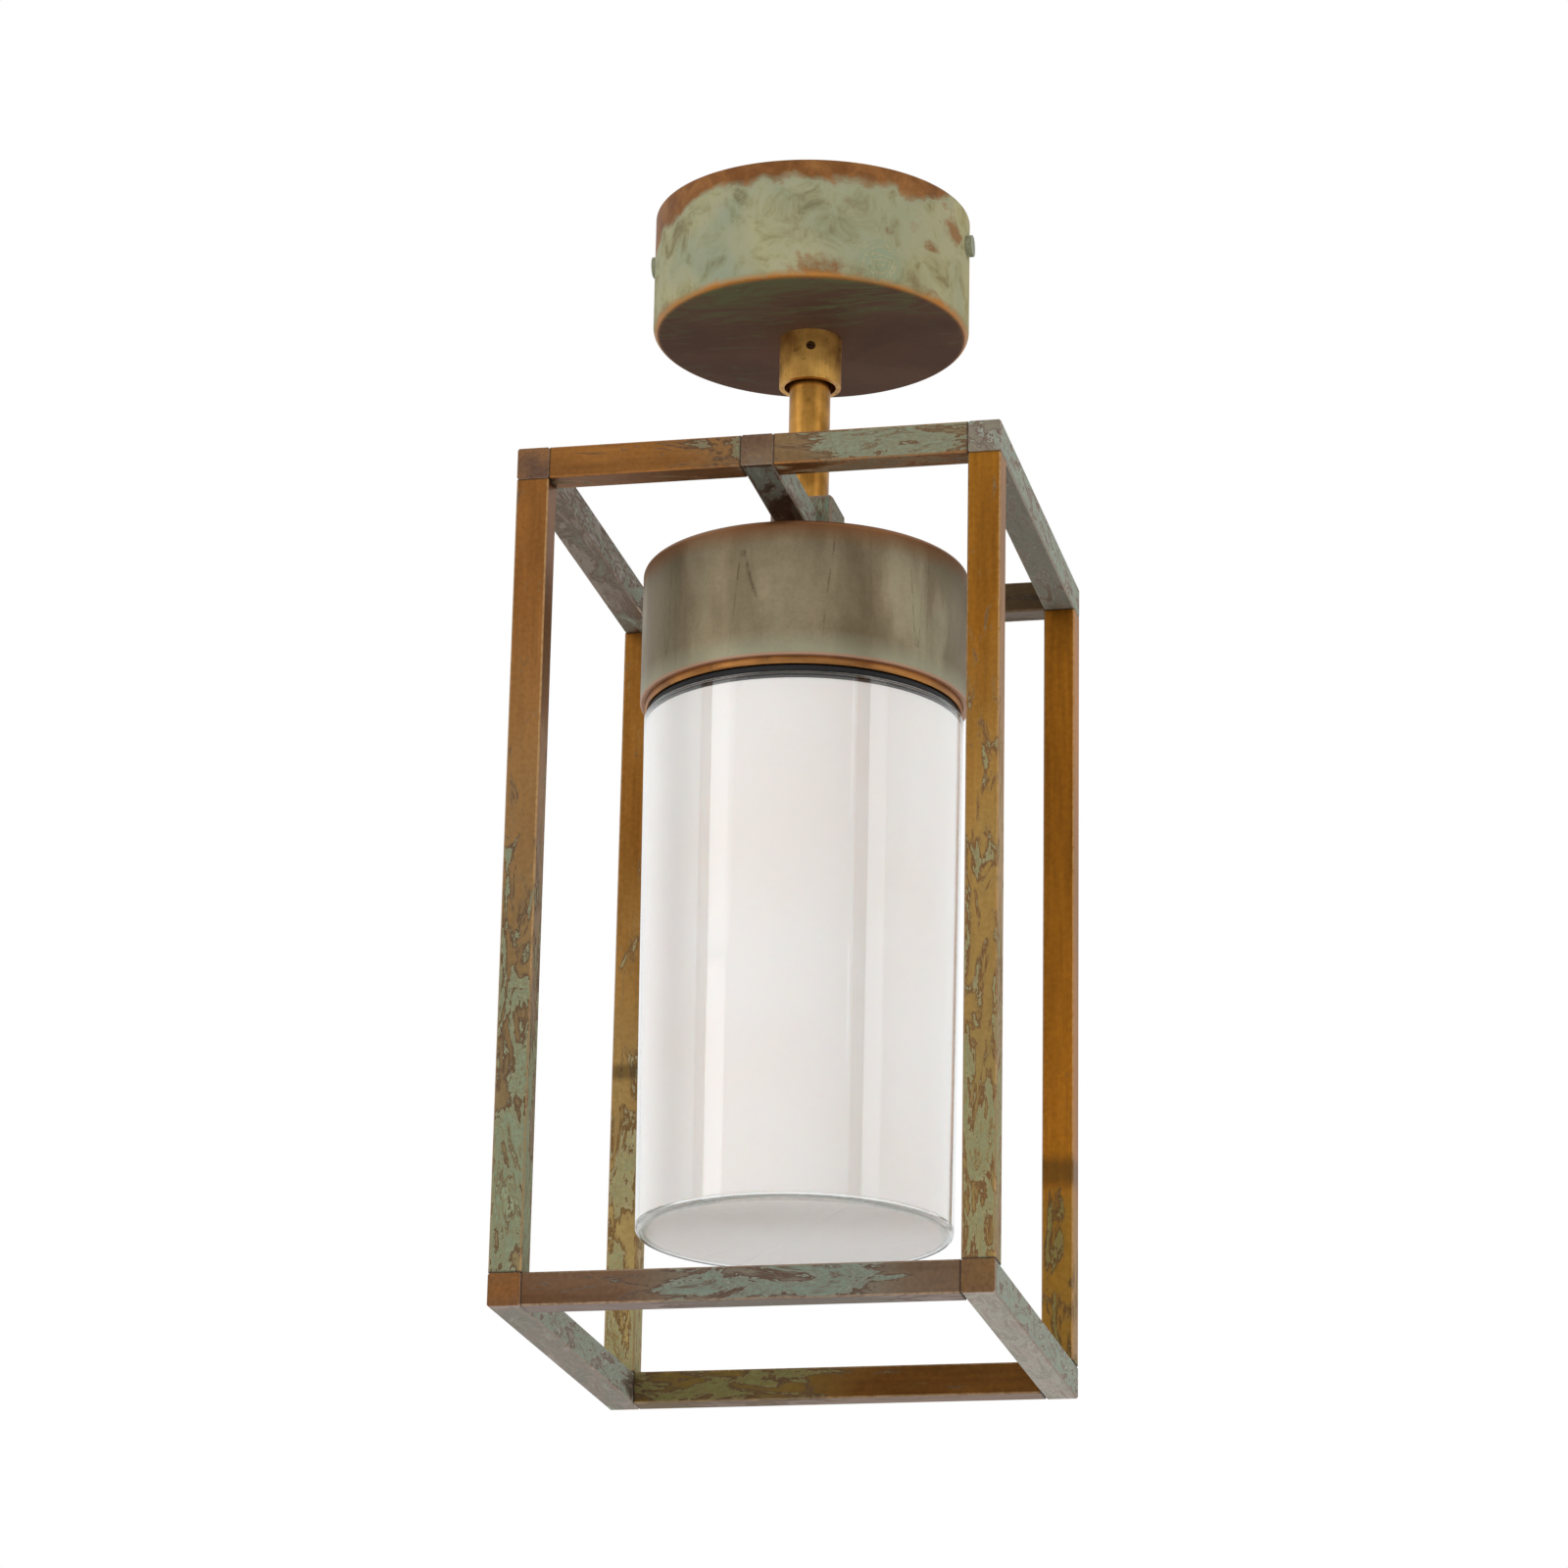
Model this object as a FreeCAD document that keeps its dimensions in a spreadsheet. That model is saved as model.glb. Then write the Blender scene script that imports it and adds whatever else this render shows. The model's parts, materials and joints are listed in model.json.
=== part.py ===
"""Porch ceiling lantern: an open cage of square brass bar round an opal glass shade.

Frame of reference: +Z up, the origin on the ceiling at the middle of the bracket, -Y is the front.
The lantern hangs below the ceiling, so every piece lies at negative Z. Sizes are millimetres.
"""
import FreeCAD, Part
import math
import os

import Sketcher

V = FreeCAD.Vector

# name, value, what it sets
SIZES = [
    ("drop", 370, "ceiling to the underside of the cage"),
    ("frame_width", 150, "cage across the front"),
    ("frame_depth", 150, "cage from front to back"),
    ("frame_height", 268, "cage height over both rails"),
    ("bar_side", 10, "square bar of the cage"),
    ("bar_edge", 0.5, "eased long edges of the bar"),
    ("joint_edge", 0.15, "deburred ends of the bar, which show as a thin line at each joint"),
    ("hub_side", 20, "cube at the middle of the crossbar"),
    ("hub_edge", 1, "eased edge of the hub"),
    ("rose_diameter", 101, "ceiling rose"),
    ("rose_height", 40, "ceiling rose"),
    ("rose_wall", 1.5, "sheet of the rose"),
    ("rose_round", 3, "rounded lower edge of the rose"),
    ("screw_drop", 11, "side screws below the rim of the rose"),
    ("side_screw", 4, "thread of the side screws"),
    ("side_screw_head", 7, "head of the side screws"),
    ("collar_diameter", 19.7, "collar under the rose"),
    ("collar_height", 16.5, "collar under the rose"),
    ("collar_recess", 16.4, "open mouth in the collar's underside"),
    ("collar_recess_depth", 5, "open mouth in the collar's underside"),
    ("collar_screw", 3, "grub screw of the collar"),
    ("collar_screw_angle", 78, "grub screw round from the right, towards the front, degrees"),
    ("stem_diameter", 13.1, "stem tube"),
    ("nipple_diameter", 10, "threaded tube at each end of the stem"),
    ("nipple_bore", 7.6, "way for the leads"),
    ("nipple_gap", 5, "between the two nipples inside the stem"),
    ("nipple_proud", 1, "thread that stands past a lock nut"),
    ("thread_play", 0.1, "radial play of a nipple in its hole"),
    ("slide_play", 0.3, "radial play between pieces that slide or turn"),
    ("seat_play", 0.3, "room at the end of a loosely seated piece"),
    ("tool_reach", 1, "how far a cutting shape runs past the surface that it opens"),
    ("spacer_height", 3.7, "spacer between hub and cup"),
    ("spacer_diameter", 17, "spacer between hub and cup"),
    ("washer_height", 1, "flat washers"),
    ("washer_diameter", 18, "flat washers"),
    ("nut_height", 4, "lock nuts of the nipples"),
    ("nut_flats", 14, "lock nuts of the nipples"),
    ("strap_width", 18, "ceiling bracket"),
    ("strap_thickness", 2, "ceiling bracket"),
    ("strap_bend", 2, "inner bend of the ceiling bracket"),
    ("ear_length", 19, "bent ears of the ceiling bracket"),
    ("slot_spacing", 60, "ceiling screws, middle to middle"),
    ("slot_width", 5, "ceiling screw slots"),
    ("slot_length", 13, "ceiling screw slots, end to end"),
    ("cable_hole", 12, "hole for the house cable"),
    ("plate_thickness", 1.2, "plate that carries the terminal block"),
    ("plate_width", 34, "plate that carries the terminal block"),
    ("plate_front", 38, "plate's reach to the front of the axis"),
    ("plate_back", 22, "plate's reach to the back of the axis"),
    ("plate_corner", 8, "cut front corners of the plate"),
    ("block_length", 30, "terminal block along X"),
    ("block_depth", 17, "terminal block along Y"),
    ("block_height", 13, "terminal block along Z"),
    ("block_front", 36, "front face of the block, before the axis"),
    ("pole_pitch", 10, "terminals, middle to middle"),
    ("pole_height", 6.5, "terminals above the plate"),
    ("sleeve_diameter", 4.4, "brass sleeve of a terminal"),
    ("sleeve_bore", 2.8, "brass sleeve of a terminal"),
    ("sleeve_inset", 1, "brass sleeve inside the faces of the block"),
    ("clamp_screw", 2.6, "clamp screws of the terminals"),
    ("earth_screw", 4, "earth screw on the plate"),
    ("earth_inset", 6, "earth screw before the back edge of the plate"),
    ("lead_diameter", 2, "insulated leads"),
    ("lead_bend", 3, "bend of a lead at its middle line"),
    ("lead_held", 4, "end of a lead inside its terminal"),
    ("lead_out", 5, "straight start of a lead behind the block"),
    ("lead_tag", 2, "end of the earth lead past its screw"),
    ("cup_diameter", 102.6, "lamp cup"),
    ("cup_height", 44, "lamp cup"),
    ("cup_wall", 1.5, "sheet of the cup"),
    ("cup_round", 2.2, "rounded top edge of the cup"),
    ("ring_lip", 2.2, "screw ring standing below the cup"),
    ("ring_height", 12, "screw ring in the mouth of the cup"),
    ("gasket_height", 2.3, "rubber gasket between ring and glass"),
    ("gasket_inset", 0.9, "gasket inside the ring's rim"),
    ("glass_top_diameter", 100, "clear glass at its shoulder"),
    ("glass_base_diameter", 96.8, "clear glass at its foot"),
    ("glass_height", 164.8, "clear glass from foot to shoulder"),
    ("glass_wall", 1.3, "clear glass"),
    ("glass_floor", 2, "foot of the clear glass"),
    ("glass_round", 2.5, "rounded foot of the clear glass"),
    ("shoulder_height", 2.5, "shoulder of the clear glass"),
    ("neck_diameter", 86, "neck of the clear glass"),
    ("neck_height", 12, "neck above the shoulder"),
    ("neck_collar_wall", 1.7, "threaded collar bonded round the neck"),
    ("opal_gap", 0.5, "clear glass to opal liner"),
    ("opal_wall", 2, "opal liner"),
    ("opal_top_gap", 1, "opal liner to the glass shoulder"),
    ("holder_strap_width", 12, "hat bracket of the lampholder"),
    ("holder_strap", 1.5, "hat bracket of the lampholder"),
    ("holder_strap_height", 12.5, "hat bracket of the lampholder"),
    ("holder_strap_crown", 24, "crown of the hat bracket"),
    ("holder_strap_span", 38, "hat bracket over its feet"),
    ("holder_screws_apart", 31, "screws of the hat bracket's feet"),
    ("holder_screw", 3, "screws of the hat bracket's feet"),
    ("holder_diameter", 40, "lampholder body"),
    ("holder_mouth_diameter", 37, "lampholder body at its mouth"),
    ("holder_height", 33, "lampholder body"),
    ("holder_floor", 7, "lampholder body"),
    ("socket_diameter", 29, "bore of the lampholder"),
    ("shell_wall", 0.5, "screw shell of the lampholder"),
    ("shell_height", 21, "screw shell of the lampholder"),
    ("wire_hole", 3, "holes for the leads in the lampholder"),
    ("wire_holes_apart", 18, "holes for the leads in the lampholder"),
    ("tongue_width", 7, "centre contact of the lampholder"),
    ("tongue_thickness", 0.8, "centre contact of the lampholder"),
    ("tongue_height", 3, "centre contact of the lampholder"),
    ("tongue_foot", 3, "flat foot of the centre contact"),
    ("tongue_tip", 6, "flat tip of the centre contact"),
    ("cap_diameter", 26, "screw cap of the bulb"),
    ("cap_height", 22, "screw cap of the bulb"),
    ("cap_thread", 3.6, "pitch of the screw cap"),
    ("cap_thread_depth", 0.8, "rounded thread of the cap"),
    ("button_height", 3, "insulator and contact above the cap"),
    ("button_diameter", 8.4, "contact at the top of the insulator"),
    ("button_edge", 1, "bevel round the contact"),
    ("bulb_diameter", 60, "globe of the bulb"),
    ("bulb_neck", 28, "globe where it meets the cap"),
    ("bulb_taper", 22, "half angle of the globe's neck, degrees"),
]

doc = FreeCAD.newDocument("porch_ceiling_lantern")
sheet = doc.addObject("Spreadsheet::Sheet", "dims")
for row, (alias, value, note) in enumerate(SIZES, start=1):
    sheet.set("A%d" % row, alias)
    sheet.set("B%d" % row, str(value))
    sheet.set("C%d" % row, note)
    sheet.setAlias("B%d" % row, alias)
doc.recompute()

# Heights that several pieces share, each worked out from the sheet. All are below the ceiling.
LEVELS = {
    "bars_middle": "(-(dims.drop - dims.frame_height) - dims.bar_side / 2)",
    "hub_top": "(-(dims.drop - dims.frame_height) - dims.bar_side / 2 + dims.hub_side / 2)",
    "hub_base": "(-(dims.drop - dims.frame_height) - dims.bar_side / 2 - dims.hub_side / 2)",
    "rose_floor": "(-dims.rose_height + dims.rose_wall)",
}
LEVELS["cup_top"] = "(%(hub_base)s - dims.spacer_height)" % LEVELS
LEVELS["cup_ceiling"] = "(%(cup_top)s - dims.cup_wall)" % LEVELS
LEVELS["cup_base"] = "(%(cup_top)s - dims.cup_height)" % LEVELS
LEVELS["ring_base"] = "(%(cup_base)s - dims.ring_lip)" % LEVELS
LEVELS["shoulder"] = "(%(ring_base)s - dims.gasket_height)" % LEVELS
LEVELS["glass_base"] = "(%(shoulder)s - dims.glass_height)" % LEVELS
LEVELS["plate_top"] = "(%(rose_floor)s + dims.plate_thickness)" % LEVELS
LEVELS["rose_nut"] = "(%(plate_top)s + dims.washer_height)" % LEVELS
LEVELS["cup_nut"] = "(%(cup_ceiling)s - dims.holder_strap - dims.washer_height - dims.nut_height)" % LEVELS
LEVELS["holder_top"] = "(%(cup_ceiling)s - dims.holder_strap_height)" % LEVELS
LEVELS["holder_mouth"] = "(%(holder_top)s - dims.holder_height)" % LEVELS

pieces = []


def number(expression):
    """The value of an expression on the sheet, in millimetres or degrees."""
    result = sheet.evalExpression(expression)
    return float(getattr(result, "Value", result))


def level(name):
    return LEVELS[name]


def keep(piece, name):
    """Name a finished piece and list it for export."""
    piece.Label = name
    pieces.append(piece)
    return piece


def place(piece, x="0", y="0", z="0", rotation=None):
    """Put a piece where expressions say, turned by rotation first."""
    piece.Placement = FreeCAD.Placement(V(0, 0, 0), rotation or FreeCAD.Rotation())
    for axis, expression in zip("xyz", (x, y, z)):
        piece.setExpression("Placement.Base.%s" % axis, expression)
    return piece


def bind(piece, **sizes):
    for name, expression in sizes.items():
        piece.setExpression(name, expression)
    return piece


def new_body(name):
    return keep(doc.addObject("PartDesign::Body", name + "_body"), name)


def new_sketch(body, role):
    """An empty sketch on one of the body's own origin planes."""
    plane = [item for item in body.Origin.OriginFeatures if item.Role == role][0]
    sketch = body.newObject("Sketcher::SketchObject", body.Label + "_sketch")
    sketch.AttachmentSupport = [(plane, "")]
    sketch.MapMode = "FlatFace"
    return sketch


def pin_point(sketch, geometry, vertex, across, up):
    """Tie a point of the sketch to two expressions, measured from the sketch's origin."""
    for kind, axis, expression in (("DistanceX", -2, across), ("DistanceY", -1, up)):
        if expression == "0":
            sketch.addConstraint(Sketcher.Constraint("PointOnObject", geometry, vertex, axis))
            continue
        rule = Sketcher.Constraint(kind, -1, 1, geometry, vertex, number(expression))
        index = sketch.addConstraint(rule)
        sketch.setExpression("Constraints[%d]" % index, expression)


def add_polygon(sketch, outline):
    """A closed outline of straight lines through pairs of expressions."""
    points = [V(number(across), number(up), 0) for across, up in outline]
    lines = []
    for start, end in zip(points, points[1:] + points[:1]):
        lines.append(sketch.addGeometry(Part.LineSegment(start, end), False))
    for line, following in zip(lines, lines[1:] + lines[:1]):
        sketch.addConstraint(Sketcher.Constraint("Coincident", line, 2, following, 1))
    for line, (across, up) in zip(lines, outline):
        pin_point(sketch, line, 1, across, up)


def add_circle(sketch, across, up, diameter):
    centre = V(number(across), number(up), 0)
    circle = sketch.addGeometry(Part.Circle(centre, V(0, 0, 1), number(diameter) / 2), False)
    pin_point(sketch, circle, 3, across, up)
    index = sketch.addConstraint(Sketcher.Constraint("Diameter", circle, number(diameter)))
    sketch.setExpression("Constraints[%d]" % index, diameter)


def add_slot(sketch, across, up, width, length):
    """A slot with round ends along the sketch's first axis."""
    half_width = "(%s) / 2" % width
    reach = "((%s) - (%s)) / 2" % (length, width)
    ends = []
    for side, start in ((1, -math.pi / 2), (-1, math.pi / 2)):
        at = "(%s) + %d * (%s)" % (across, side, reach)
        circle = Part.Circle(V(number(at), number(up), 0), V(0, 0, 1), number(half_width))
        ends.append(sketch.addGeometry(Part.ArcOfCircle(circle, start, start + math.pi), False))
        pin_point(sketch, ends[-1], 3, at, up)
    shape = [sketch.Geometry[end] for end in ends]
    upper = sketch.addGeometry(Part.LineSegment(shape[0].EndPoint, shape[1].StartPoint), False)
    lower = sketch.addGeometry(Part.LineSegment(shape[1].EndPoint, shape[0].StartPoint), False)
    for first, first_end, second, second_end in (
        (ends[0], 2, upper, 1),
        (upper, 2, ends[1], 1),
        (ends[1], 2, lower, 1),
        (lower, 2, ends[0], 1),
    ):
        sketch.addConstraint(Sketcher.Constraint("Tangent", first, first_end, second, second_end))
    index = sketch.addConstraint(Sketcher.Constraint("Radius", ends[0], number(half_width)))
    sketch.setExpression("Constraints[%d]" % index, half_width)


def pad(body, sketch, length, backwards=False):
    feature = body.newObject("PartDesign::Pad", body.Label + "_pad")
    feature.Profile = sketch
    feature.Reversed = backwards
    feature.setExpression("Length", length)
    doc.recompute()
    return feature


def cut_through(body, role, draw, length, start="0", backwards=False):
    """Cut a drawn shape straight through, and make sure that it did cut."""
    before = body.Shape.Volume
    sketch = new_sketch(body, role)
    sketch.setExpression("AttachmentOffset.Base.z", start)
    draw(sketch)
    feature = body.newObject("PartDesign::Pocket", body.Label + "_pocket")
    feature.Profile = sketch
    feature.Reversed = backwards
    feature.setExpression("Length", length)
    doc.recompute()
    if not body.Shape.Volume < before:
        raise RuntimeError("a cut in %s removed nothing" % body.Label)
    return feature


def ease(body, kind, size, wanted):
    """Fillet or chamfer the edges of the body's tip that the test accepts."""
    doc.recompute()
    tip = body.Tip
    names = [
        "Edge%d" % (index + 1)
        for index, edge in enumerate(tip.Shape.Edges)
        if wanted(edge)
    ]
    if not names:
        raise RuntimeError("no edge to ease on %s" % body.Label)
    feature = body.newObject("PartDesign::" + kind, body.Label + "_ease")
    feature.Base = (tip, names)
    feature.setExpression("Radius" if kind == "Fillet" else "Size", size)
    doc.recompute()
    return feature


def rim(radius, height):
    """A test for the circular edge of this radius at this height in the body's own frame."""
    def wanted(edge):
        curve = edge.Curve
        return (
            isinstance(curve, Part.Circle)
            and abs(curve.Radius - number(radius)) < 1e-4
            and abs(curve.Center.z - number(height)) < 1e-4
        )
    return wanted


def turned(name, outline, x="0", y="0", z="0"):
    """A round piece: its half section, as radius and height above its own foot, spun about Z."""
    body = new_body(name)
    sketch = new_sketch(body, "XZ_Plane")
    add_polygon(sketch, outline)
    feature = body.newObject("PartDesign::Revolution", name + "_revolution")
    feature.Profile = sketch
    feature.ReferenceAxis = (sketch, ["V_Axis"])
    feature.Angle = 360
    place(body, x, y, z)
    doc.recompute()
    return body


def tube(name, outer, inner, height, z):
    """A plain ring or tube from an outer and an inner diameter."""
    outline = [
        ("(%s) / 2" % inner, "0"),
        ("(%s) / 2" % outer, "0"),
        ("(%s) / 2" % outer, height),
        ("(%s) / 2" % inner, height),
    ]
    return turned(name, outline, z=z)


def cylinder(diameter, height, x="0", y="0", z="0", rotation=None):
    piece = doc.addObject("Part::Cylinder", "rod")
    bind(piece, Radius="(%s) / 2" % diameter, Height=height)
    return place(piece, x, y, z, rotation)


def box(length, width, height, x="0", y="0", z="0"):
    piece = doc.addObject("Part::Box", "block")
    bind(piece, Length=length, Width=width, Height=height)
    return place(piece, x, y, z)


def fuse(*parts):
    piece = doc.addObject("Part::MultiFuse", "join")
    piece.Shapes = list(parts)
    return piece


def cut(base, tool):
    piece = doc.addObject("Part::Cut", "cut")
    piece.Base = base
    piece.Tool = tool
    return piece


def group(name, parts):
    """Identical pieces that share one node and stay separate solids."""
    piece = doc.addObject("Part::Compound", name + "_group")
    piece.Links = list(parts)
    return keep(piece, name)


def plain_screw(head, head_height, shank, length, x="0", y="0", z="0"):
    """A head on its own XY plane, and a shank that runs down from the middle of the head."""
    shank_length = "(%s) + (%s) / 2" % (length, head_height)
    screw = fuse(cylinder(head, head_height), cylinder(shank, shank_length, z="-(%s)" % length))
    return place(screw, x, y, z)


def slotted_screw(head, head_height, shank, length, x, y, z, rotation=None):
    """A screw whose head sits on its own XY plane and whose shank points down."""
    slot_depth = "(%s) / 2" % head_height
    slot_width = "(%s) / 5" % shank
    screw = cut(
        plain_screw(head, head_height, shank, length),
        box(
            "(%s) + 2 * dims.tool_reach" % head,
            slot_width,
            "(%s) + dims.tool_reach" % slot_depth,
            x="-(%s) / 2 - dims.tool_reach" % head,
            y="-(%s) / 2" % slot_width,
            z="(%s) - (%s)" % (head_height, slot_depth),
        ),
    )
    return place(screw, x, y, z, rotation)


# ---------------------------------------------------------------- the cage of square bar


def square(half):
    """The corners of a square outline about the sketch's origin."""
    low, high = "-" + half, half
    return [(low, low), (high, low), (high, high), (low, high)]


def square_bar(name, length, x, y, z, along):
    """A bar of the cage, centred on x, y, z and lying along X, Y or Z."""
    body = new_body(name)
    end = {"X": "YZ_Plane", "Y": "XZ_Plane", "Z": "XY_Plane"}[along]
    sketch = new_sketch(body, end)
    add_polygon(sketch, square("dims.bar_side / 2"))
    pad(body, sketch, length)
    side = number("dims.bar_side")
    ease(body, "Chamfer", "dims.bar_edge", lambda edge: edge.Length > side * 1.01)
    ease(body, "Chamfer", "dims.joint_edge", lambda edge: edge.Length < side)
    where = {"X": x, "Y": y, "Z": z}
    # A pad on the XZ plane grows towards -Y, and the two others towards the positive axis.
    shift = " + (%s) / 2" if along == "Y" else " - (%s) / 2"
    where[along] = "(%s)" % where[along] + shift % length
    place(body, where["X"], where["Y"], where["Z"])


edge_x = "(dims.frame_width / 2 - dims.bar_side / 2)"
edge_y = "(dims.frame_depth / 2 - dims.bar_side / 2)"
low = "(-dims.drop + dims.bar_side / 2)"
high = level("bars_middle")
upright_middle = "(-dims.drop + dims.frame_height / 2)"
inner_width = "dims.frame_width - 2 * dims.bar_side"
half_rail = "(dims.frame_width - 3 * dims.bar_side) / 2"
half_rail_x = "(dims.frame_width / 4 - dims.bar_side / 4)"

for side, sign in (("left", "-"), ("right", "")):
    for height, z in (("top", high), ("bottom", low)):
        square_bar(
            "%s_side_rail_%s" % (height, side), "dims.frame_depth", sign + edge_x, "0", z, "Y"
        )
    for face, face_sign in (("front", "-"), ("rear", "")):
        upright_height = "dims.frame_height - 2 * dims.bar_side"
        square_bar(
            "upright_%s_%s" % (face, side),
            upright_height,
            sign + edge_x,
            face_sign + edge_y,
            upright_middle,
            "Z",
        )
        square_bar(
            "top_%s_rail_%s" % (face, side),
            half_rail,
            sign + half_rail_x,
            face_sign + edge_y,
            high,
            "X",
        )

for face, face_sign in (("front", "-"), ("rear", "")):
    square_bar("bottom_%s_rail" % face, inner_width, "0", face_sign + edge_y, low, "X")
    arm = "(dims.frame_depth - dims.hub_side) / 2"
    arm_y = face_sign + "(dims.frame_depth + dims.hub_side) / 4"
    square_bar("crossbar_" + face, arm, "0", arm_y, high, "Y")

nipple_hole = "dims.nipple_diameter + 2 * dims.thread_play"

hub = new_body("hub_cube")
hub_sketch = new_sketch(hub, "XY_Plane")
add_polygon(hub_sketch, square("dims.hub_side / 2"))
pad(hub, hub_sketch, "dims.hub_side")
ease(hub, "Chamfer", "dims.hub_edge", lambda edge: True)
cut_through(
    hub,
    "XY_Plane",
    lambda sketch: add_circle(sketch, "0", "0", nipple_hole),
    "dims.hub_side",
    backwards=True,
)
place(hub, z=level("hub_base"))

tube("cup_spacer", "dims.spacer_diameter", nipple_hole, "dims.spacer_height", level("cup_top"))

# ---------------------------------------------------------------- stem, nipples and collar

stem_bore = nipple_hole
stem_length = "(-dims.rose_height - %s)" % level("hub_top")
tube("stem_tube", "dims.stem_diameter", stem_bore, stem_length, level("hub_top"))

# The two nipples leave a named gap between them at the middle of the stem.
nipple_hold = "((%s - dims.nipple_gap) / 2)" % stem_length
upper_nipple_foot = "(-dims.rose_height - %s)" % nipple_hold
upper_nipple_top = "(%s + dims.nut_height + dims.nipple_proud)" % level("rose_nut")
tube(
    "upper_nipple",
    "dims.nipple_diameter",
    "dims.nipple_bore",
    "%s - %s" % (upper_nipple_top, upper_nipple_foot),
    upper_nipple_foot,
)

lower_nipple_foot = "(%s - dims.nipple_proud)" % level("cup_nut")
lower_nipple_top = "(%s + %s)" % (level("hub_top"), nipple_hold)
tube(
    "lower_nipple",
    "dims.nipple_diameter",
    "dims.nipple_bore",
    "%s - %s" % (lower_nipple_top, lower_nipple_foot),
    lower_nipple_foot,
)

collar_bore = "(dims.stem_diameter / 2 + dims.slide_play)"
collar_foot = "(-dims.rose_height - dims.collar_height)"
collar = turned(
    "stem_collar",
    [
        ("dims.collar_recess / 2", "0"),
        ("dims.collar_diameter / 2", "0"),
        ("dims.collar_diameter / 2", "dims.collar_height"),
        (collar_bore, "dims.collar_height"),
        (collar_bore, "dims.collar_recess_depth"),
        ("dims.collar_recess / 2", "dims.collar_recess_depth"),
    ],
    z=collar_foot,
)
collar_screw_height = "(dims.collar_height + dims.collar_recess_depth) / 2"
cut_through(
    collar,
    "YZ_Plane",
    lambda sketch: add_circle(sketch, "0", collar_screw_height, "dims.collar_screw"),
    "dims.collar_diameter",
)
towards_grub = FreeCAD.Rotation(V(0, 0, 1), 180 - number("dims.collar_screw_angle"))
place(collar, z=collar_foot, rotation=towards_grub)


def lock_nut(name, z):
    """A hexagon nut round a nipple."""
    prism = doc.addObject("Part::Prism", "hexagon")
    prism.Polygon = 6
    bind(prism, Circumradius="dims.nut_flats / 2 / cos(30)", Height="dims.nut_height")
    place(prism, z=z)
    bore_height = "dims.nut_height + 2 * dims.tool_reach"
    bore = cylinder(nipple_hole, bore_height, z="%s - dims.tool_reach" % z)
    keep(cut(prism, bore), name)


tube("rose_washer", "dims.washer_diameter", nipple_hole, "dims.washer_height", level("plate_top"))
lock_nut("rose_lock_nut", level("rose_nut"))
tube(
    "cup_washer",
    "dims.washer_diameter",
    nipple_hole,
    "dims.washer_height",
    "%s + dims.nut_height" % level("cup_nut"),
)
lock_nut("cup_lock_nut", level("cup_nut"))

# ---------------------------------------------------------------- ceiling rose and its bracket

rose_radius = "dims.rose_diameter / 2"
rose_inner = "(dims.rose_diameter / 2 - dims.rose_wall)"
rose = turned(
    "rose_cover",
    [
        ("(%s) / 2" % nipple_hole, "0"),
        (rose_radius, "0"),
        (rose_radius, "dims.rose_height"),
        (rose_inner, "dims.rose_height"),
        (rose_inner, "dims.rose_wall"),
        ("(%s) / 2" % nipple_hole, "dims.rose_wall"),
    ],
    z="-dims.rose_height",
)
ease(rose, "Fillet", "dims.rose_round", rim(rose_radius, "0"))
ease(rose, "Chamfer", "dims.rose_round - dims.rose_wall", rim(rose_inner, "dims.rose_wall"))
side_hole = "dims.side_screw + 2 * dims.thread_play"
rose_hole_height = "dims.rose_height - dims.screw_drop"
cut_through(
    rose,
    "YZ_Plane",
    lambda sketch: add_circle(sketch, "0", rose_hole_height, side_hole),
    "dims.rose_diameter + 2 * dims.tool_reach",
    start="dims.rose_diameter / 2 + dims.tool_reach",
)

# The bracket is a strap with both ends bent down. The ears stand just inside the rose, and each has
# a slot that is open below, so that the rose comes down with its screws only slackened.
bracket = new_body("ceiling_bracket")
ear_outer = "(dims.rose_diameter / 2 - dims.rose_wall - 2 * dims.slide_play - %s)" % (
    "dims.strap_width ^ 2 / (4 * dims.rose_diameter)"
)
ear_inner = "(%s - dims.strap_thickness)" % ear_outer
ear_foot = "-dims.ear_length"
strap_under = "-dims.strap_thickness"
bracket_sketch = new_sketch(bracket, "XZ_Plane")
add_polygon(
    bracket_sketch,
    [
        ("-" + ear_outer, "0"),
        ("-" + ear_outer, ear_foot),
        ("-" + ear_inner, ear_foot),
        ("-" + ear_inner, strap_under),
        (ear_inner, strap_under),
        (ear_inner, ear_foot),
        (ear_outer, ear_foot),
        (ear_outer, "0"),
    ],
)
pad(bracket, bracket_sketch, "dims.strap_width")


def bend_line(across, up):
    """A test for the edges along Y at this distance from the middle and this height."""
    def wanted(edge):
        first, last = edge.Vertexes[0].Point, edge.Vertexes[-1].Point
        return (
            abs(first.y - last.y) > 1
            and abs(abs(first.x) - number(across)) < 1e-4
            and abs(first.z - number(up)) < 1e-4
        )
    return wanted


ease(bracket, "Fillet", "dims.strap_bend", bend_line(ear_inner, strap_under))
ease(bracket, "Fillet", "dims.strap_bend + dims.strap_thickness", bend_line(ear_outer, "0"))
strap_middle = "-dims.strap_width / 2"


def draw_ceiling_holes(sketch):
    add_circle(sketch, "0", strap_middle, "dims.cable_hole")
    for sign in ("-", ""):
        slot_x = sign + "dims.slot_spacing / 2"
        add_slot(sketch, slot_x, strap_middle, "dims.slot_width", "dims.slot_length")


cut_through(bracket, "XY_Plane", draw_ceiling_holes, "dims.strap_thickness")
ear_slot = "dims.side_screw + 2 * dims.slide_play"
ear_slot_half = "(%s) / 2" % ear_slot


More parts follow.
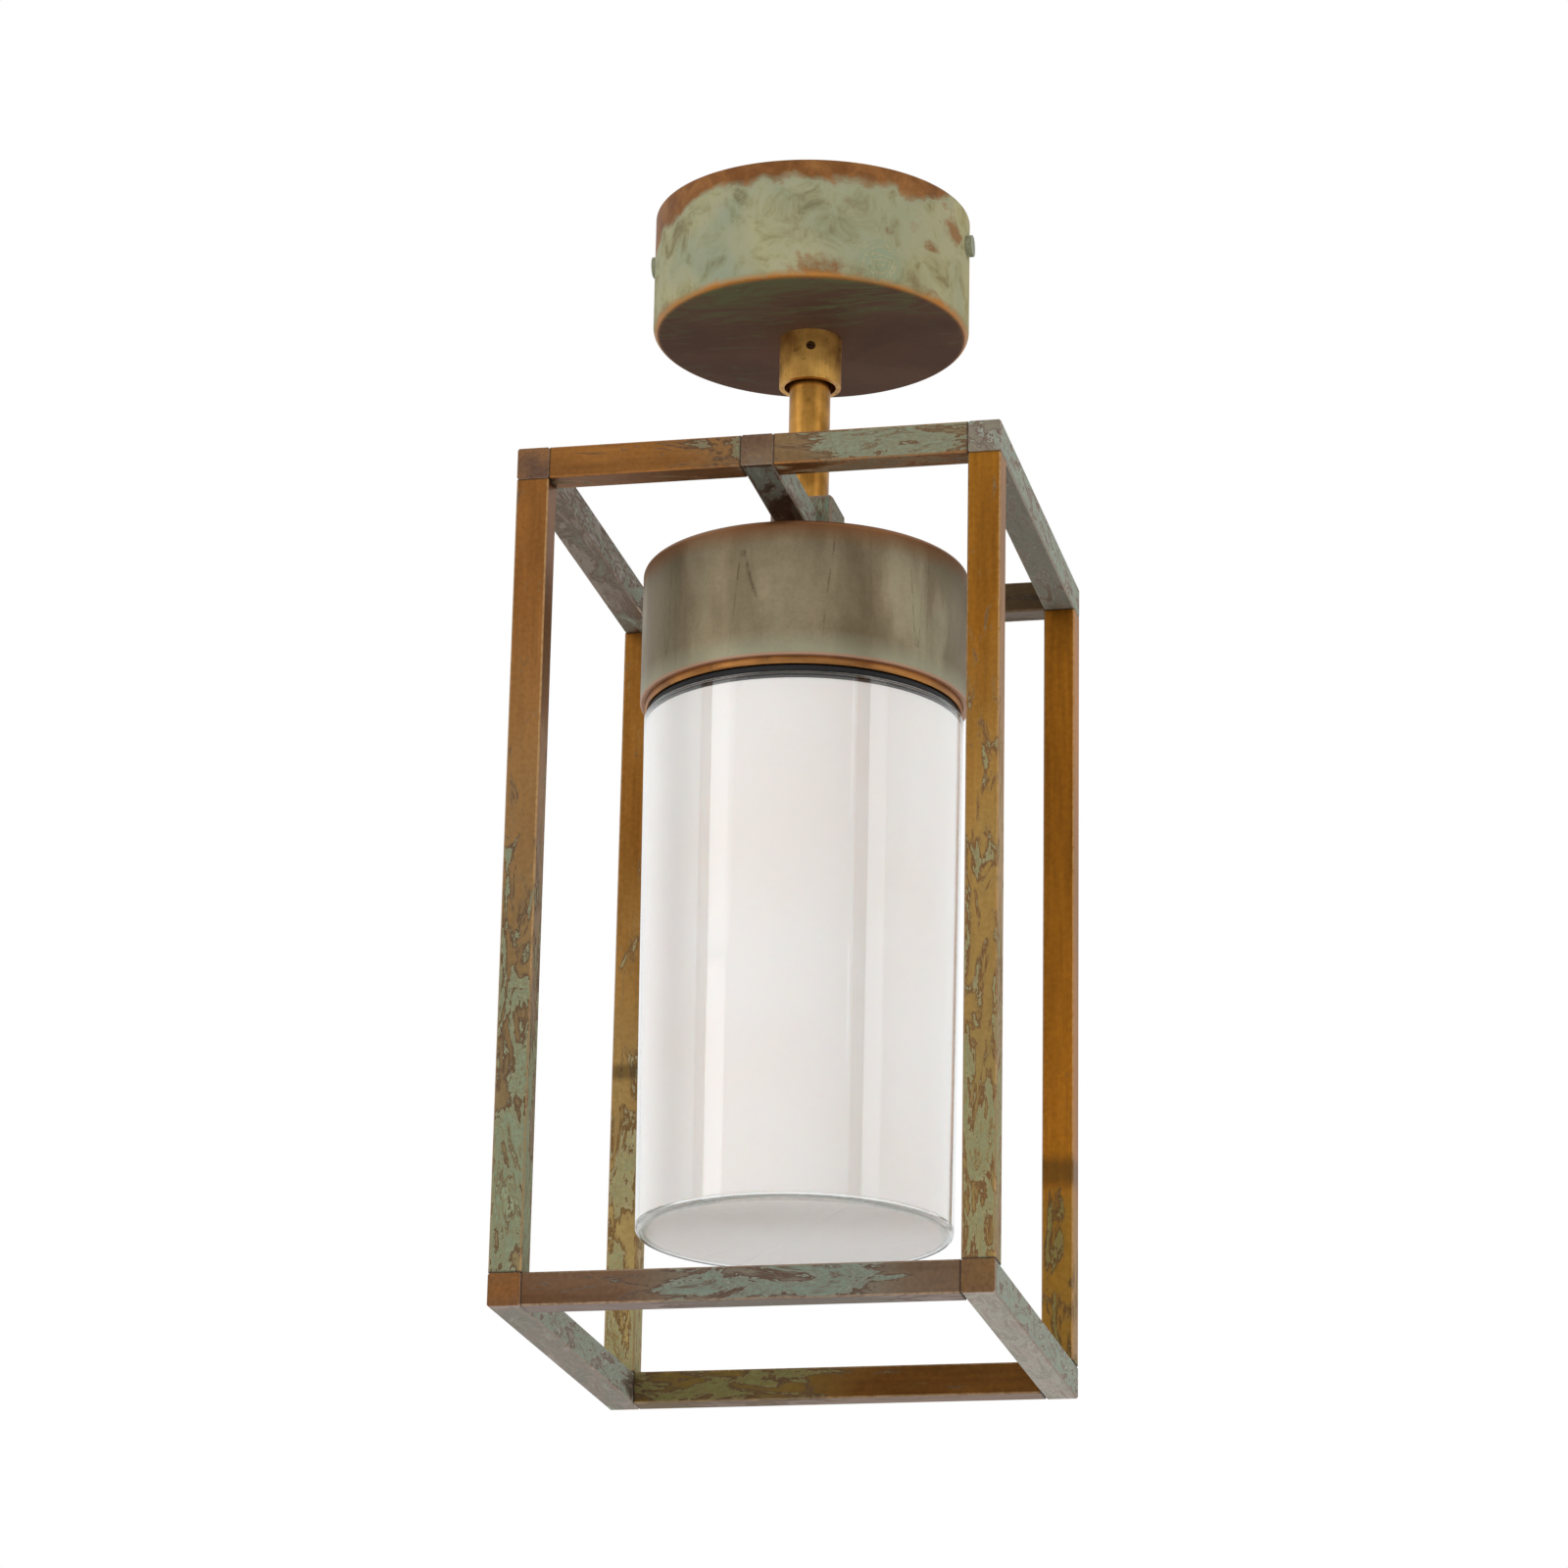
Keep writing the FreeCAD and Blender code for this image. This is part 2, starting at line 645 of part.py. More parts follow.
def draw_ear_slot(sketch):
    """The open slot of an ear: straight sides up to the middle of the screw, then a round end."""
    middle, top, foot = strap_middle, "-dims.screw_drop", "-dims.ear_length - dims.tool_reach"
    centre = V(number(middle), number(top), 0)
    radius = number(ear_slot_half)
    arc = sketch.addGeometry(Part.ArcOfCircle(Part.Circle(centre, V(0, 0, 1), radius), 0, math.pi), False)
    ends = sketch.Geometry[arc]
    low_left = V(ends.EndPoint.x, number(foot), 0)
    low_right = V(ends.StartPoint.x, number(foot), 0)
    left = sketch.addGeometry(Part.LineSegment(ends.EndPoint, low_left), False)
    base = sketch.addGeometry(Part.LineSegment(low_left, low_right), False)
    right = sketch.addGeometry(Part.LineSegment(low_right, ends.StartPoint), False)
    sketch.addConstraint(Sketcher.Constraint("Tangent", arc, 2, left, 1))
    sketch.addConstraint(Sketcher.Constraint("Coincident", left, 2, base, 1))
    sketch.addConstraint(Sketcher.Constraint("Coincident", base, 2, right, 1))
    sketch.addConstraint(Sketcher.Constraint("Tangent", right, 2, arc, 1))
    pin_point(sketch, arc, 3, middle, top)
    index = sketch.addConstraint(Sketcher.Constraint("Radius", arc, radius))
    sketch.setExpression("Constraints[%d]" % index, ear_slot_half)
    pin_point(sketch, left, 2, "%s - %s" % (middle, ear_slot_half), foot)
    pin_point(sketch, right, 1, "%s + %s" % (middle, ear_slot_half), foot)


cut_through(
    bracket,
    "YZ_Plane",
    draw_ear_slot,
    "dims.rose_diameter + 2 * dims.tool_reach",
    start="dims.rose_diameter / 2 + dims.tool_reach",
)
place(bracket, y="dims.strap_width / 2")

# The side screws go in from the right and the left, and a nut inside each ear pulls the rose to it.
side_nut_height = "dims.side_screw * 0.7"
side_nut_face = "(%s - dims.slide_play)" % ear_inner
side_head_height = "dims.side_screw * 0.5"
side_length = "(dims.rose_diameter / 2 - %s + %s + dims.tool_reach)" % (side_nut_face, side_nut_height)
side_screws = []
side_nuts = []
for sign, turn in (("", 90), ("-", -90)):
    rotation = FreeCAD.Rotation(V(0, 1, 0), turn)
    side_screws.append(
        slotted_screw(
            "dims.side_screw_head",
            side_head_height,
            "dims.side_screw",
            side_length,
            sign + rose_radius,
            "0",
            "-dims.screw_drop",
            rotation,
        )
    )
    prism = doc.addObject("Part::Prism", "hexagon")
    prism.Polygon = 6
    bind(prism, Circumradius="dims.side_screw * 1.75 / 2 / cos(30)", Height=side_nut_height)
    nut_bore = "%s + 2 * dims.tool_reach" % side_nut_height
    nut = cut(prism, cylinder(side_hole, nut_bore, z="-dims.tool_reach"))
    nut_x = "%s(%s - %s)" % (sign, side_nut_face, side_nut_height)
    side_nuts.append(place(nut, nut_x, "0", "-dims.screw_drop", rotation))
group("rose_side_screws", side_screws)
group("rose_side_nuts", side_nuts)

# The grub screw of the collar, a plain pin with a slot, a little below the surface.
grub_length = "(dims.collar_diameter / 2 - %s - 2 * dims.thread_play)" % collar_bore
grub = cut(
    cylinder("dims.collar_screw - 2 * dims.thread_play", grub_length),
    box(
        "dims.collar_screw + 2 * dims.tool_reach",
        "dims.collar_screw / 5",
        "dims.collar_screw",
        x="-dims.collar_screw / 2 - dims.tool_reach",
        y="-dims.collar_screw / 10",
        z="%s - dims.collar_screw / 4" % grub_length,
    ),
)
grub_angle = math.radians(number("dims.collar_screw_angle"))
grub_start = "(%s + dims.thread_play)" % collar_bore
grub_rotation = FreeCAD.Rotation(V(0, 0, 1), V(math.cos(grub_angle), -math.sin(grub_angle), 0))
place(
    grub,
    "%s * cos(dims.collar_screw_angle)" % grub_start,
    "-%s * sin(dims.collar_screw_angle)" % grub_start,
    "%s + %s" % (collar_foot, collar_screw_height),
    grub_rotation,
)
keep(grub, "collar_grub_screw")

# ---------------------------------------------------------------- terminal plate, block and leads

plate = new_body("terminal_plate")
plate_sketch = new_sketch(plate, "XY_Plane")
plate_half = "dims.plate_width / 2"
add_polygon(
    plate_sketch,
    [
        ("-" + plate_half, "-dims.plate_front + dims.plate_corner"),
        ("-" + plate_half + " + dims.plate_corner", "-dims.plate_front"),
        (plate_half + " - dims.plate_corner", "-dims.plate_front"),
        (plate_half, "-dims.plate_front + dims.plate_corner"),
        (plate_half, "dims.plate_back"),
        ("-" + plate_half, "dims.plate_back"),
    ],
)
pad(plate, plate_sketch, "dims.plate_thickness")
earth_x = "dims.pole_pitch"
earth_y = "(dims.plate_back - dims.earth_inset)"
earth_hole = "dims.earth_screw + 2 * dims.thread_play"


def draw_plate_holes(sketch):
    add_circle(sketch, "0", "0", nipple_hole)
    add_circle(sketch, earth_x, earth_y, earth_hole)


cut_through(plate, "XY_Plane", draw_plate_holes, "dims.plate_thickness", backwards=True)
place(plate, z=level("rose_floor"))

block_back = "(-dims.block_front + dims.block_depth)"
pole_z = "(%s + dims.pole_height)" % level("plate_top")
along_y = FreeCAD.Rotation(V(1, 0, 0), -90)
block_holes = []
sleeves = []
clamp_screws = []
clamp_head = "(dims.clamp_screw / 2)"
clamp_room = "(dims.block_height - dims.pole_height - dims.sleeve_diameter / 2)"
clamp_shank = "(%s - dims.seat_play - %s)" % (clamp_room, clamp_head)
sleeve_hole = "dims.sleeve_diameter + 2 * dims.thread_play"
sleeve_length = "dims.block_depth - 2 * dims.sleeve_inset"
sleeve_start = "-dims.block_front + dims.sleeve_inset"
hole_start = "-dims.block_front - dims.tool_reach"
hole_length = "dims.block_depth + 2 * dims.tool_reach"
for pole in (-1, 0, 1):
    pole_x = "%d * dims.pole_pitch" % pole
    block_holes.append(cylinder(sleeve_hole, hole_length, pole_x, hole_start, pole_z, along_y))
    sleeve = cylinder("dims.sleeve_diameter", sleeve_length, pole_x, sleeve_start, pole_z, along_y)
    bore = cylinder("dims.sleeve_bore", hole_length, pole_x, hole_start, pole_z, along_y)
    sleeves.append(cut(sleeve, bore))
    for row in (-1, 1):
        screw_y = "-dims.block_front + dims.block_depth / 2 + %d * dims.block_depth / 4" % row
        block_holes.append(
            cylinder(
                "dims.clamp_screw + 2 * dims.thread_play",
                "dims.block_height",
                pole_x,
                screw_y,
                pole_z,
            )
        )
        clamp_screws.append(
            plain_screw(
                "dims.clamp_screw",
                clamp_head,
                "dims.clamp_screw * 0.85",
                clamp_shank,
                pole_x,
                screw_y,
                "%s + dims.block_height - %s" % (level("plate_top"), clamp_head),
            )
        )
block = box(
    "dims.block_length",
    "dims.block_depth",
    "dims.block_height",
    "-dims.block_length / 2",
    "-dims.block_front",
    level("plate_top"),
)
keep(cut(block, fuse(*block_holes)), "terminal_block")
group("terminal_sleeves", sleeves)
group("terminal_clamp_screws", clamp_screws)
keep(
    slotted_screw(
        "dims.earth_screw * 1.8",
        "dims.earth_screw * 0.5",
        "dims.earth_screw",
        "dims.plate_thickness",
        earth_x,
        earth_y,
        level("plate_top"),
    ),
    "earth_screw",
)


def lead(name, route):
    """An insulated lead: straight runs through the points of its route, with a bend at each turn."""
    points = [V(*[number(value) for value in point]) for point in route]
    radius = number("dims.lead_diameter") / 2
    wanted_bend = number("dims.lead_bend")
    edges = []
    start = points[0]
    for before, corner, after in zip(points, points[1:], points[2:]):
        into = (corner - before).normalize()
        out = (after - corner).normalize()
        turn = into.getAngle(out)
        room = min((corner - before).Length, (after - corner).Length) * 0.48
        bend = min(wanted_bend, room / math.tan(turn / 2))
        setback = bend * math.tan(turn / 2)
        first = corner - into * setback
        last = corner + out * setback
        inward = (out - into).normalize()
        middle = corner + inward * (bend / math.cos(turn / 2) - bend)
        edges.append(Part.LineSegment(start, first).toShape())
        edges.append(Part.Arc(first, middle, last).toShape())
        start = last
    edges.append(Part.LineSegment(start, points[-1]).toShape())
    path = Part.Wire(edges)
    direction = (points[1] - points[0]).normalize()
    end = Part.Wire([Part.makeCircle(radius, points[0], direction)])
    solid = path.makePipeShell([end], True, False)
    full = math.pi * radius ** 2 * path.Length
    if abs(solid.Volume - full) > 0.01 * full:
        raise RuntimeError("%s is not a whole tube" % name)
    piece = doc.addObject("Part::Feature", name + "_solid")
    piece.Shape = solid
    keep(piece, name)


lead_up = "(%s + dims.lead_bend + dims.lead_diameter)" % upper_nipple_top
lead_rise_y = "(%s + dims.lead_out)" % block_back
lead_in_y = "(%s - dims.lead_held)" % block_back
lead_offset = "(dims.lead_diameter / 2 + dims.seat_play)"
lead_turn_z = "(%s - %s) / 2 + %s" % (lower_nipple_foot, level("holder_top"), level("holder_top"))
holder_hole_y = "dims.wire_holes_apart / 2"
lead_end_z = "(%s - dims.holder_floor / 2)" % level("holder_top")
for name, pole, sign in (("live_lead", -1, ""), ("neutral_lead", 0, "-")):
    pole_x = "%d * dims.pole_pitch" % pole
    lead(
        name,
        [
            (pole_x, lead_in_y, pole_z),
            (pole_x, lead_rise_y, pole_z),
            ("0", sign + lead_offset, lead_up),
            ("0", sign + lead_offset, lead_turn_z),
            ("0", sign + holder_hole_y, lead_turn_z),
            ("0", sign + holder_hole_y, lead_end_z),
        ],
    )
earth_head_top = "(%s + dims.earth_screw * 0.5)" % level("plate_top")
earth_tag_z = "(%s + dims.lead_diameter / 2 + dims.seat_play)" % earth_head_top
lead(
    "earth_lead",
    [
        (earth_x, lead_in_y, pole_z),
        (earth_x, lead_rise_y, pole_z),
        (earth_x, "(%s + %s) / 2" % (lead_rise_y, earth_y), "%s + dims.lead_diameter" % pole_z),
        (earth_x, "%s - dims.lead_tag" % earth_y, earth_tag_z),
        (earth_x, "%s + dims.lead_tag" % earth_y, earth_tag_z),
    ],
)

# ---------------------------------------------------------------- lamp cup and screw ring

cup_radius = "dims.cup_diameter / 2"
cup_inner = "(dims.cup_diameter / 2 - dims.cup_wall)"
cup = turned(
    "lamp_cup",
    [
        (cup_inner, "0"),
        (cup_radius, "0"),
        (cup_radius, "dims.cup_height"),
        ("(%s) / 2" % nipple_hole, "dims.cup_height"),
        ("(%s) / 2" % nipple_hole, "dims.cup_height - dims.cup_wall"),
        (cup_inner, "dims.cup_height - dims.cup_wall"),
    ],
    z=level("cup_base"),
)
ease(cup, "Fillet", "dims.cup_round", rim(cup_radius, "dims.cup_height"))
ease(
    cup,
    "Chamfer",
    "dims.cup_round - dims.cup_wall",
    rim(cup_inner, "dims.cup_height - dims.cup_wall"),
)

neck_collar_outer = "(dims.neck_diameter / 2 + dims.thread_play + dims.neck_collar_wall)"
ring_inner = "(%s + dims.slide_play)" % neck_collar_outer
ring_outer = "(%s - dims.thread_play)" % cup_inner
ring = turned(
    "screw_ring",
    [
        (ring_inner, "0"),
        (ring_outer, "0"),
        (ring_outer, "dims.ring_height"),
        (ring_inner, "dims.ring_height"),
    ],
    z=level("ring_base"),
)
ease(ring, "Chamfer", "dims.gasket_inset / 2", rim(ring_outer, "0"))

turned(
    "shade_gasket",
    [
        (ring_inner, "0"),
        ("%s - dims.gasket_inset" % ring_outer, "0"),
        ("%s - dims.gasket_inset" % ring_outer, "dims.gasket_height"),
        (ring_inner, "dims.gasket_height"),
    ],
    z=level("shoulder"),
)

# ---------------------------------------------------------------- glass shade

glass_top = "dims.glass_top_diameter / 2"
glass_foot = "dims.glass_base_diameter / 2"
neck_outer = "dims.neck_diameter / 2"
neck_inner = "(dims.neck_diameter / 2 - dims.glass_wall)"
under_shoulder = "(dims.glass_height - dims.shoulder_height)"
glass = turned(
    "clear_glass",
    [
        ("0", "0"),
        (glass_foot, "0"),
        (glass_top, "dims.glass_height"),
        (neck_outer, "dims.glass_height"),
        (neck_outer, "dims.glass_height + dims.neck_height"),
        (neck_inner, "dims.glass_height + dims.neck_height"),
        (neck_inner, under_shoulder),
        ("%s - dims.glass_wall" % glass_top, under_shoulder),
        ("%s - dims.glass_wall" % glass_foot, "dims.glass_floor"),
        ("0", "dims.glass_floor"),
    ],
    z=level("glass_base"),
)
ease(glass, "Fillet", "dims.glass_round", rim(glass_foot, "0"))
ease(glass, "Chamfer", "dims.shoulder_height / 4", rim(glass_top, "dims.glass_height"))

opal_inset = "(dims.glass_wall + dims.opal_gap)"
opal_inner = "(%s - %s - dims.opal_wall)" % (glass_foot, opal_inset)
opal_height = "(%s - dims.opal_top_gap - dims.glass_floor)" % under_shoulder
opal = turned(
    "opal_liner",
    [
        ("0", "0"),
        ("%s - %s" % (glass_foot, opal_inset), "0"),
        ("%s - %s" % (glass_top, opal_inset), opal_height),
        (opal_inner, opal_height),
        (opal_inner, "dims.opal_wall"),
        ("0", "dims.opal_wall"),
    ],
    z="%s + dims.glass_floor" % level("glass_base"),
)
ease(opal, "Chamfer", "dims.opal_wall / 2", rim("%s - %s" % (glass_foot, opal_inset), "0"))

neck_collar_height = "(dims.neck_height - 2)"
tube(
    "neck_collar",
    "2 * " + neck_collar_outer,
    "dims.neck_diameter + 2 * dims.thread_play",
    neck_collar_height,
    level("shoulder"),
)

# ---------------------------------------------------------------- lampholder

hat = new_body("holder_bracket")
hat_sketch = new_sketch(hat, "XZ_Plane")
crown = "(dims.holder_strap_crown / 2)"
crown_in = "(dims.holder_strap_crown / 2 - dims.holder_strap)"
span = "(dims.holder_strap_span / 2)"
hat_top = "dims.holder_strap_height"
hat_under = "(dims.holder_strap_height - dims.holder_strap)"
right_side = [
    (crown_in, hat_under),
    (crown_in, "0"),
    (span, "0"),
    (span, "dims.holder_strap"),
    (crown, "dims.holder_strap"),
    (crown, hat_top),
]
left_side = [("-" + across, up) for across, up in reversed(right_side)]
add_polygon(hat_sketch, right_side + left_side)
pad(hat, hat_sketch, "dims.holder_strap_width")
hat_middle = "-dims.holder_strap_width / 2"
holder_screw_hole = "dims.holder_screw + 2 * dims.thread_play"


def draw_hat_holes(sketch):
    add_circle(sketch, "0", hat_middle, nipple_hole)
    for sign in ("-", ""):
        add_circle(sketch, sign + "dims.holder_screws_apart / 2", hat_middle, holder_screw_hole)


cut_through(hat, "XY_Plane", draw_hat_holes, hat_top, backwards=True)
place(hat, y="dims.holder_strap_width / 2", z=level("holder_top"))

holder = turned(
    "lampholder_body",
    [
        ("dims.socket_diameter / 2", "0"),
        ("dims.holder_mouth_diameter / 2", "0"),
        ("dims.holder_diameter / 2", "dims.holder_height / 2"),
        ("dims.holder_diameter / 2", "dims.holder_height"),
        ("0", "dims.holder_height"),
        ("0", "dims.holder_height - dims.holder_floor"),
        ("dims.socket_diameter / 2", "dims.holder_height - dims.holder_floor"),
    ],
    z=level("holder_mouth"),
)


def draw_holder_holes(sketch):
    for sign in ("-", ""):
        add_circle(sketch, "0", sign + "dims.wire_holes_apart / 2", "dims.wire_hole")
        add_circle(sketch, sign + "dims.holder_screws_apart / 2", "0", holder_screw_hole)


cut_through(holder, "XY_Plane", draw_holder_holes, "dims.holder_floor", start="dims.holder_height")

shell_outer = "(dims.socket_diameter - 2 * dims.thread_play)"
shell_top = "(%s - dims.holder_floor - dims.tongue_height)" % level("holder_top")
tube(
    "screw_shell",
    shell_outer,
    "%s - 2 * dims.shell_wall" % shell_outer,
    "dims.shell_height",
    "%s - dims.shell_height" % shell_top,
)

# The centre contact is a strip on the floor of the socket with a raised tongue in the middle.
tongue = new_body("centre_contact")
tongue_sketch = new_sketch(tongue, "XZ_Plane")
tongue_reach = "(dims.socket_diameter / 2 - dims.tongue_foot)"
tongue_rise = "-" + tongue_reach + " + dims.tongue_foot"
tip_half = "dims.tongue_tip / 2"
tip_upper = "-dims.tongue_height + dims.tongue_thickness"
add_polygon(
    tongue_sketch,
    [
        ("-" + tongue_reach, "0"),
        ("-" + tongue_reach, "-dims.tongue_thickness"),
        (tongue_rise, "-dims.tongue_thickness"),
        ("-" + tip_half, "-dims.tongue_height"),
        (tip_half, "-dims.tongue_height"),
        (tip_half, tip_upper),
        ("-" + tip_half + " + dims.tongue_thickness / 2", tip_upper),
        (tongue_rise, "0"),
    ],
)
pad(tongue, tongue_sketch, "dims.tongue_width")
place(tongue, y="dims.tongue_width / 2", z="%s - dims.holder_floor" % level("holder_top"))

group(
    "holder_screws",
    [
        slotted_screw(
            "dims.holder_screw * 1.8",
            "dims.holder_screw * 0.6",
            "dims.holder_screw",
            "dims.holder_strap + dims.holder_floor - dims.seat_play",
            sign + "dims.holder_screws_apart / 2",
            "0",
            "%s + dims.holder_strap" % level("holder_top"),
        )
        for sign in ("-", "")
    ],
)

# ---------------------------------------------------------------- bulb

tongue_face = "(%s - dims.holder_floor - dims.tongue_height)" % level("holder_top")
contact_face = "(%s - dims.seat_play)" % tongue_face
cap_top = "(%s - dims.button_height)" % contact_face
cap_foot = "(%s - dims.cap_height)" % cap_top
cap_radius = "dims.cap_diameter / 2"
cap_root = "(dims.cap_diameter / 2 - dims.cap_thread_depth)"
THREAD_TURNS = 4
thread_start = "(dims.cap_height - %d * dims.cap_thread)" % THREAD_TURNS
cap_outline = [("0", "0"), (cap_radius, "0"), (cap_radius, thread_start)]
for turn in range(THREAD_TURNS):
    root_height = "%s + (%d + 0.5) * dims.cap_thread" % (thread_start, turn)
    crest_height = "%s + (%d + 1) * dims.cap_thread" % (thread_start, turn)
    last = turn == THREAD_TURNS - 1
    cap_outline.append((cap_root, root_height))
    cap_outline.append((cap_root if last else cap_radius, crest_height))
cap_outline.append(("0", "dims.cap_height"))
turned("bulb_screw_cap", cap_outline, z=cap_foot)
turned(
    "bulb_contact",
    [
        ("0", "0"),
        (cap_root + " - dims.button_edge", "0"),
        ("dims.button_diameter / 2 + dims.button_edge", "dims.button_height - dims.button_edge"),
        ("dims.button_diameter / 2", "dims.button_height"),
        ("0", "dims.button_height"),
    ],
    z=cap_top,
)

ball_radius = "(dims.bulb_diameter / 2)"
taper_wide = "(%s * cos(dims.bulb_taper))" % ball_radius
taper_narrow = "(dims.bulb_neck / 2)"
taper_length = "((%s - %s) / tan(dims.bulb_taper))" % (taper_wide, taper_narrow)
ball_z = "(%s - %s - %s * sin(dims.bulb_taper))" % (cap_foot, taper_length, ball_radius)
ball = doc.addObject("Part::Sphere", "ball")
bind(ball, Radius=ball_radius)
place(ball, z=ball_z)
cone = doc.addObject("Part::Cone", "taper")
bind(cone, Radius1=taper_wide, Radius2=taper_narrow, Height=taper_length)
place(cone, z="%s - %s" % (cap_foot, taper_length))
keep(fuse(ball, cone), "bulb_globe")

# ---------------------------------------------------------------- check and export

doc.recompute()
for item in doc.Objects:
    if "Invalid" in item.State or "Error" in item.State:
        raise RuntimeError("%s has failed" % item.Label)
os.makedirs("parts", exist_ok=True)
for piece in pieces:
    shape = piece.Shape
    if shape.isNull() or not shape.isValid() or shape.Volume <= 0:
        raise RuntimeError("%s has no valid shape" % piece.Label)
    shape.exportStep("parts/%s.step" % piece.Label)
print("%d pieces written" % len(pieces))
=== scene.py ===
# %% [markdown]
# # A porch ceiling lantern in aged brass and opal glass
# The lantern hangs from a round ceiling rose. A short stem carries an open cage of square brass
# bar, and a cup in the cage holds a shade of two glasses, clear outside and opal inside. The
# pieces come with their real shape and place. What is made here is the finish of each surface,
# and the turned, blown and threaded pieces whose curves need a finer mesh.

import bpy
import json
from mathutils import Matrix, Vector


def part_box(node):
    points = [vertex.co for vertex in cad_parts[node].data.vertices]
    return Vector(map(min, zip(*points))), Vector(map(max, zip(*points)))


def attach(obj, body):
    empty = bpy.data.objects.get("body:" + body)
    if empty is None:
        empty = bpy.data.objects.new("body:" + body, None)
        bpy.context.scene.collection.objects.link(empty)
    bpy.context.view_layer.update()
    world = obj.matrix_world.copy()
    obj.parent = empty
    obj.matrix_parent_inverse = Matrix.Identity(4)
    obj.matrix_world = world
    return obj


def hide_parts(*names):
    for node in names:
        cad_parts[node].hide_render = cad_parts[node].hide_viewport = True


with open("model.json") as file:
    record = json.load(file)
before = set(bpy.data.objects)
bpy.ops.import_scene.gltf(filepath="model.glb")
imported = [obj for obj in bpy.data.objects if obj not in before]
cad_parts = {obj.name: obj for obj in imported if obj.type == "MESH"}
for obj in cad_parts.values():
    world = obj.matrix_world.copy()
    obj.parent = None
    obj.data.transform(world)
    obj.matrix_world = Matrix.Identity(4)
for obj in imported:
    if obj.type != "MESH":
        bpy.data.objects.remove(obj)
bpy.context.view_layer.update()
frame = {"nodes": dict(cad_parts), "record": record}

# %% Modules
import json
import math

import bmesh
import bpy
from mathutils import Matrix, Vector

# %% [markdown]
# ## Colours, patterns and nodes
# A colour is easiest to compare with the real thing as an sRGB hex value, but shading works on
# linear light, so one function turns the one into the other. A pattern is easiest to judge in
# millimetres, but a noise texture wants repeats per metre. The third function adds any node, so
# each material below reads as a list of what it is made of.

# %% Colour and scale
def linear(shade):
    """An sRGB hex colour as linear red, green, blue and alpha."""
    channels = [int(shade[start:start + 2], 16) / 255 for start in (1, 3, 5)]
    return [c / 12.92 if c <= 0.04045 else ((c + 0.055) / 1.055) ** 2.4 for c in channels] + [1.0]


def per_metre(millimetres):
    """How often a pattern of this size repeats over one metre."""
    return 1000 / millimetres


# %% One function for any node
def connect(material, node, inputs):
    """Give a node's inputs their values, or link them to the nodes and sockets that feed them."""
    for name, value in inputs.items():
        if isinstance(value, bpy.types.Node):
            value = value.outputs[0]
        if isinstance(value, bpy.types.NodeSocket):
            material.node_tree.links.new(value, node.inputs[name])
        elif isinstance(value, str):
            node.inputs[name].default_value = linear(value)
        else:
            node.inputs[name].default_value = value


def add(material, kind, inputs, stops=(), **settings):
    """Add a node with its own settings, the stops of its colour ramp, and what its inputs hold."""
    node = material.node_tree.nodes.new("ShaderNode" + kind)
    for name, value in settings.items():
        setattr(node, name, value)
    for index, (position, shade) in enumerate(stops):
        elements = node.color_ramp.elements
        element = elements[index] if index < 2 else elements.new(position)
        element.position = position
        element.color = linear(shade) if isinstance(shade, str) else (shade, shade, shade, 1)
    connect(material, node, inputs)
    return node


def new_material(name, **values):
    """A material whose main shader starts from these constant values."""
    material = bpy.data.materials.new(name)
    material.use_nodes = True
    shader = material.node_tree.nodes["Principled BSDF"]
    connect(material, shader, {key.replace("_", " "): value for key, value in values.items()})
    return material, shader


print("white is", linear("#ffffff"), "and 5 mm repeats", per_metre(5), "times in a metre")

# %% [markdown]
# ## Aged square bar
# The cage is drawn square brass bar, put through an acid bath and left to weather. Bare brass
# goes ochre brown, then a thin olive film forms, and where water stood there are crusts of green
# copper salts, with red-brown oxide round them and pale tide lines. It could be painted on, but
# no two bars are alike, so the growth is a rule here: a share of crust for each place along the
# bar, and noise, drawn out along the bar, that decides where it sits. The ramp over that sum
# holds the layers in the order in which they grow, so every patch gets its rings. Bare metal is a
# metal; the crust isn't, so it is rough and doesn't mirror. The bars are darker where two meet.
# The undersides have shades of their own, partly patina and partly painted light and shade, and
# the edges are pale, partly rubbed and partly painted highlights.

# %% Where a piece is: its place, its sides and its edges
def surroundings(material):
    """The place and masks that several finishes share."""
    place = add(material, "TexCoord", {})
    sides = add(material, "SeparateXYZ", {0: place.outputs["Normal"]})
    size = [add(material, "Math", {0: axis}, operation="ABSOLUTE") for axis in sides.outputs]
    largest = add(material, "Math", {0: size[0], 1: size[1]}, operation="MAXIMUM")
    largest = add(material, "Math", {0: largest, 1: size[2]}, operation="MAXIMUM")
    edge = add(material, "MapRange", {"Value": largest, "From Min": 0.93, "From Max": 0.8})
    under = add(
        material, "MapRange", {"Value": sides.outputs[2], "From Min": -0.75, "From Max": -0.95}
    )
    return {
        "place": place.outputs["Object"],
        "axes": add(material, "SeparateXYZ", {0: place.outputs["Object"]}).outputs,
        "edge": edge,
        "under": under,
    }


# %% Grain and bands on a colour
SEAM = 0.0001


def grained(material, colour, pattern, low, high, share=0.9):
    """A colour multiplied by a noise that is spread between two brightnesses."""
    spread = {"Value": pattern, "From Min": 0.3, "From Max": 0.7, "To Min": low, "To Max": high}
    tint = add(material, "MapRange", spread)
    mixed = {"Fac": share, "Color1": colour, "Color2": tint}
    return add(material, "MixRGB", mixed, blend_type="MULTIPLY")


def banded(material, colour, place, middle, start, full, strength, shade, **settings):
    """Mix in a shade by distance from a middle: none at start, most at full, in metres."""
    off = add(material, "Math", {0: place, 1: middle}, operation="SUBTRACT")
    off = add(material, "Math", {0: off}, operation="ABSOLUTE")
    reach = {"Value": off, "From Min": start, "From Max": full, "To Max": strength}
    band = add(material, "MapRange", reach, **settings)
    return add(material, "MixRGB", {"Fac": band, "Color1": colour, "Color2": shade})


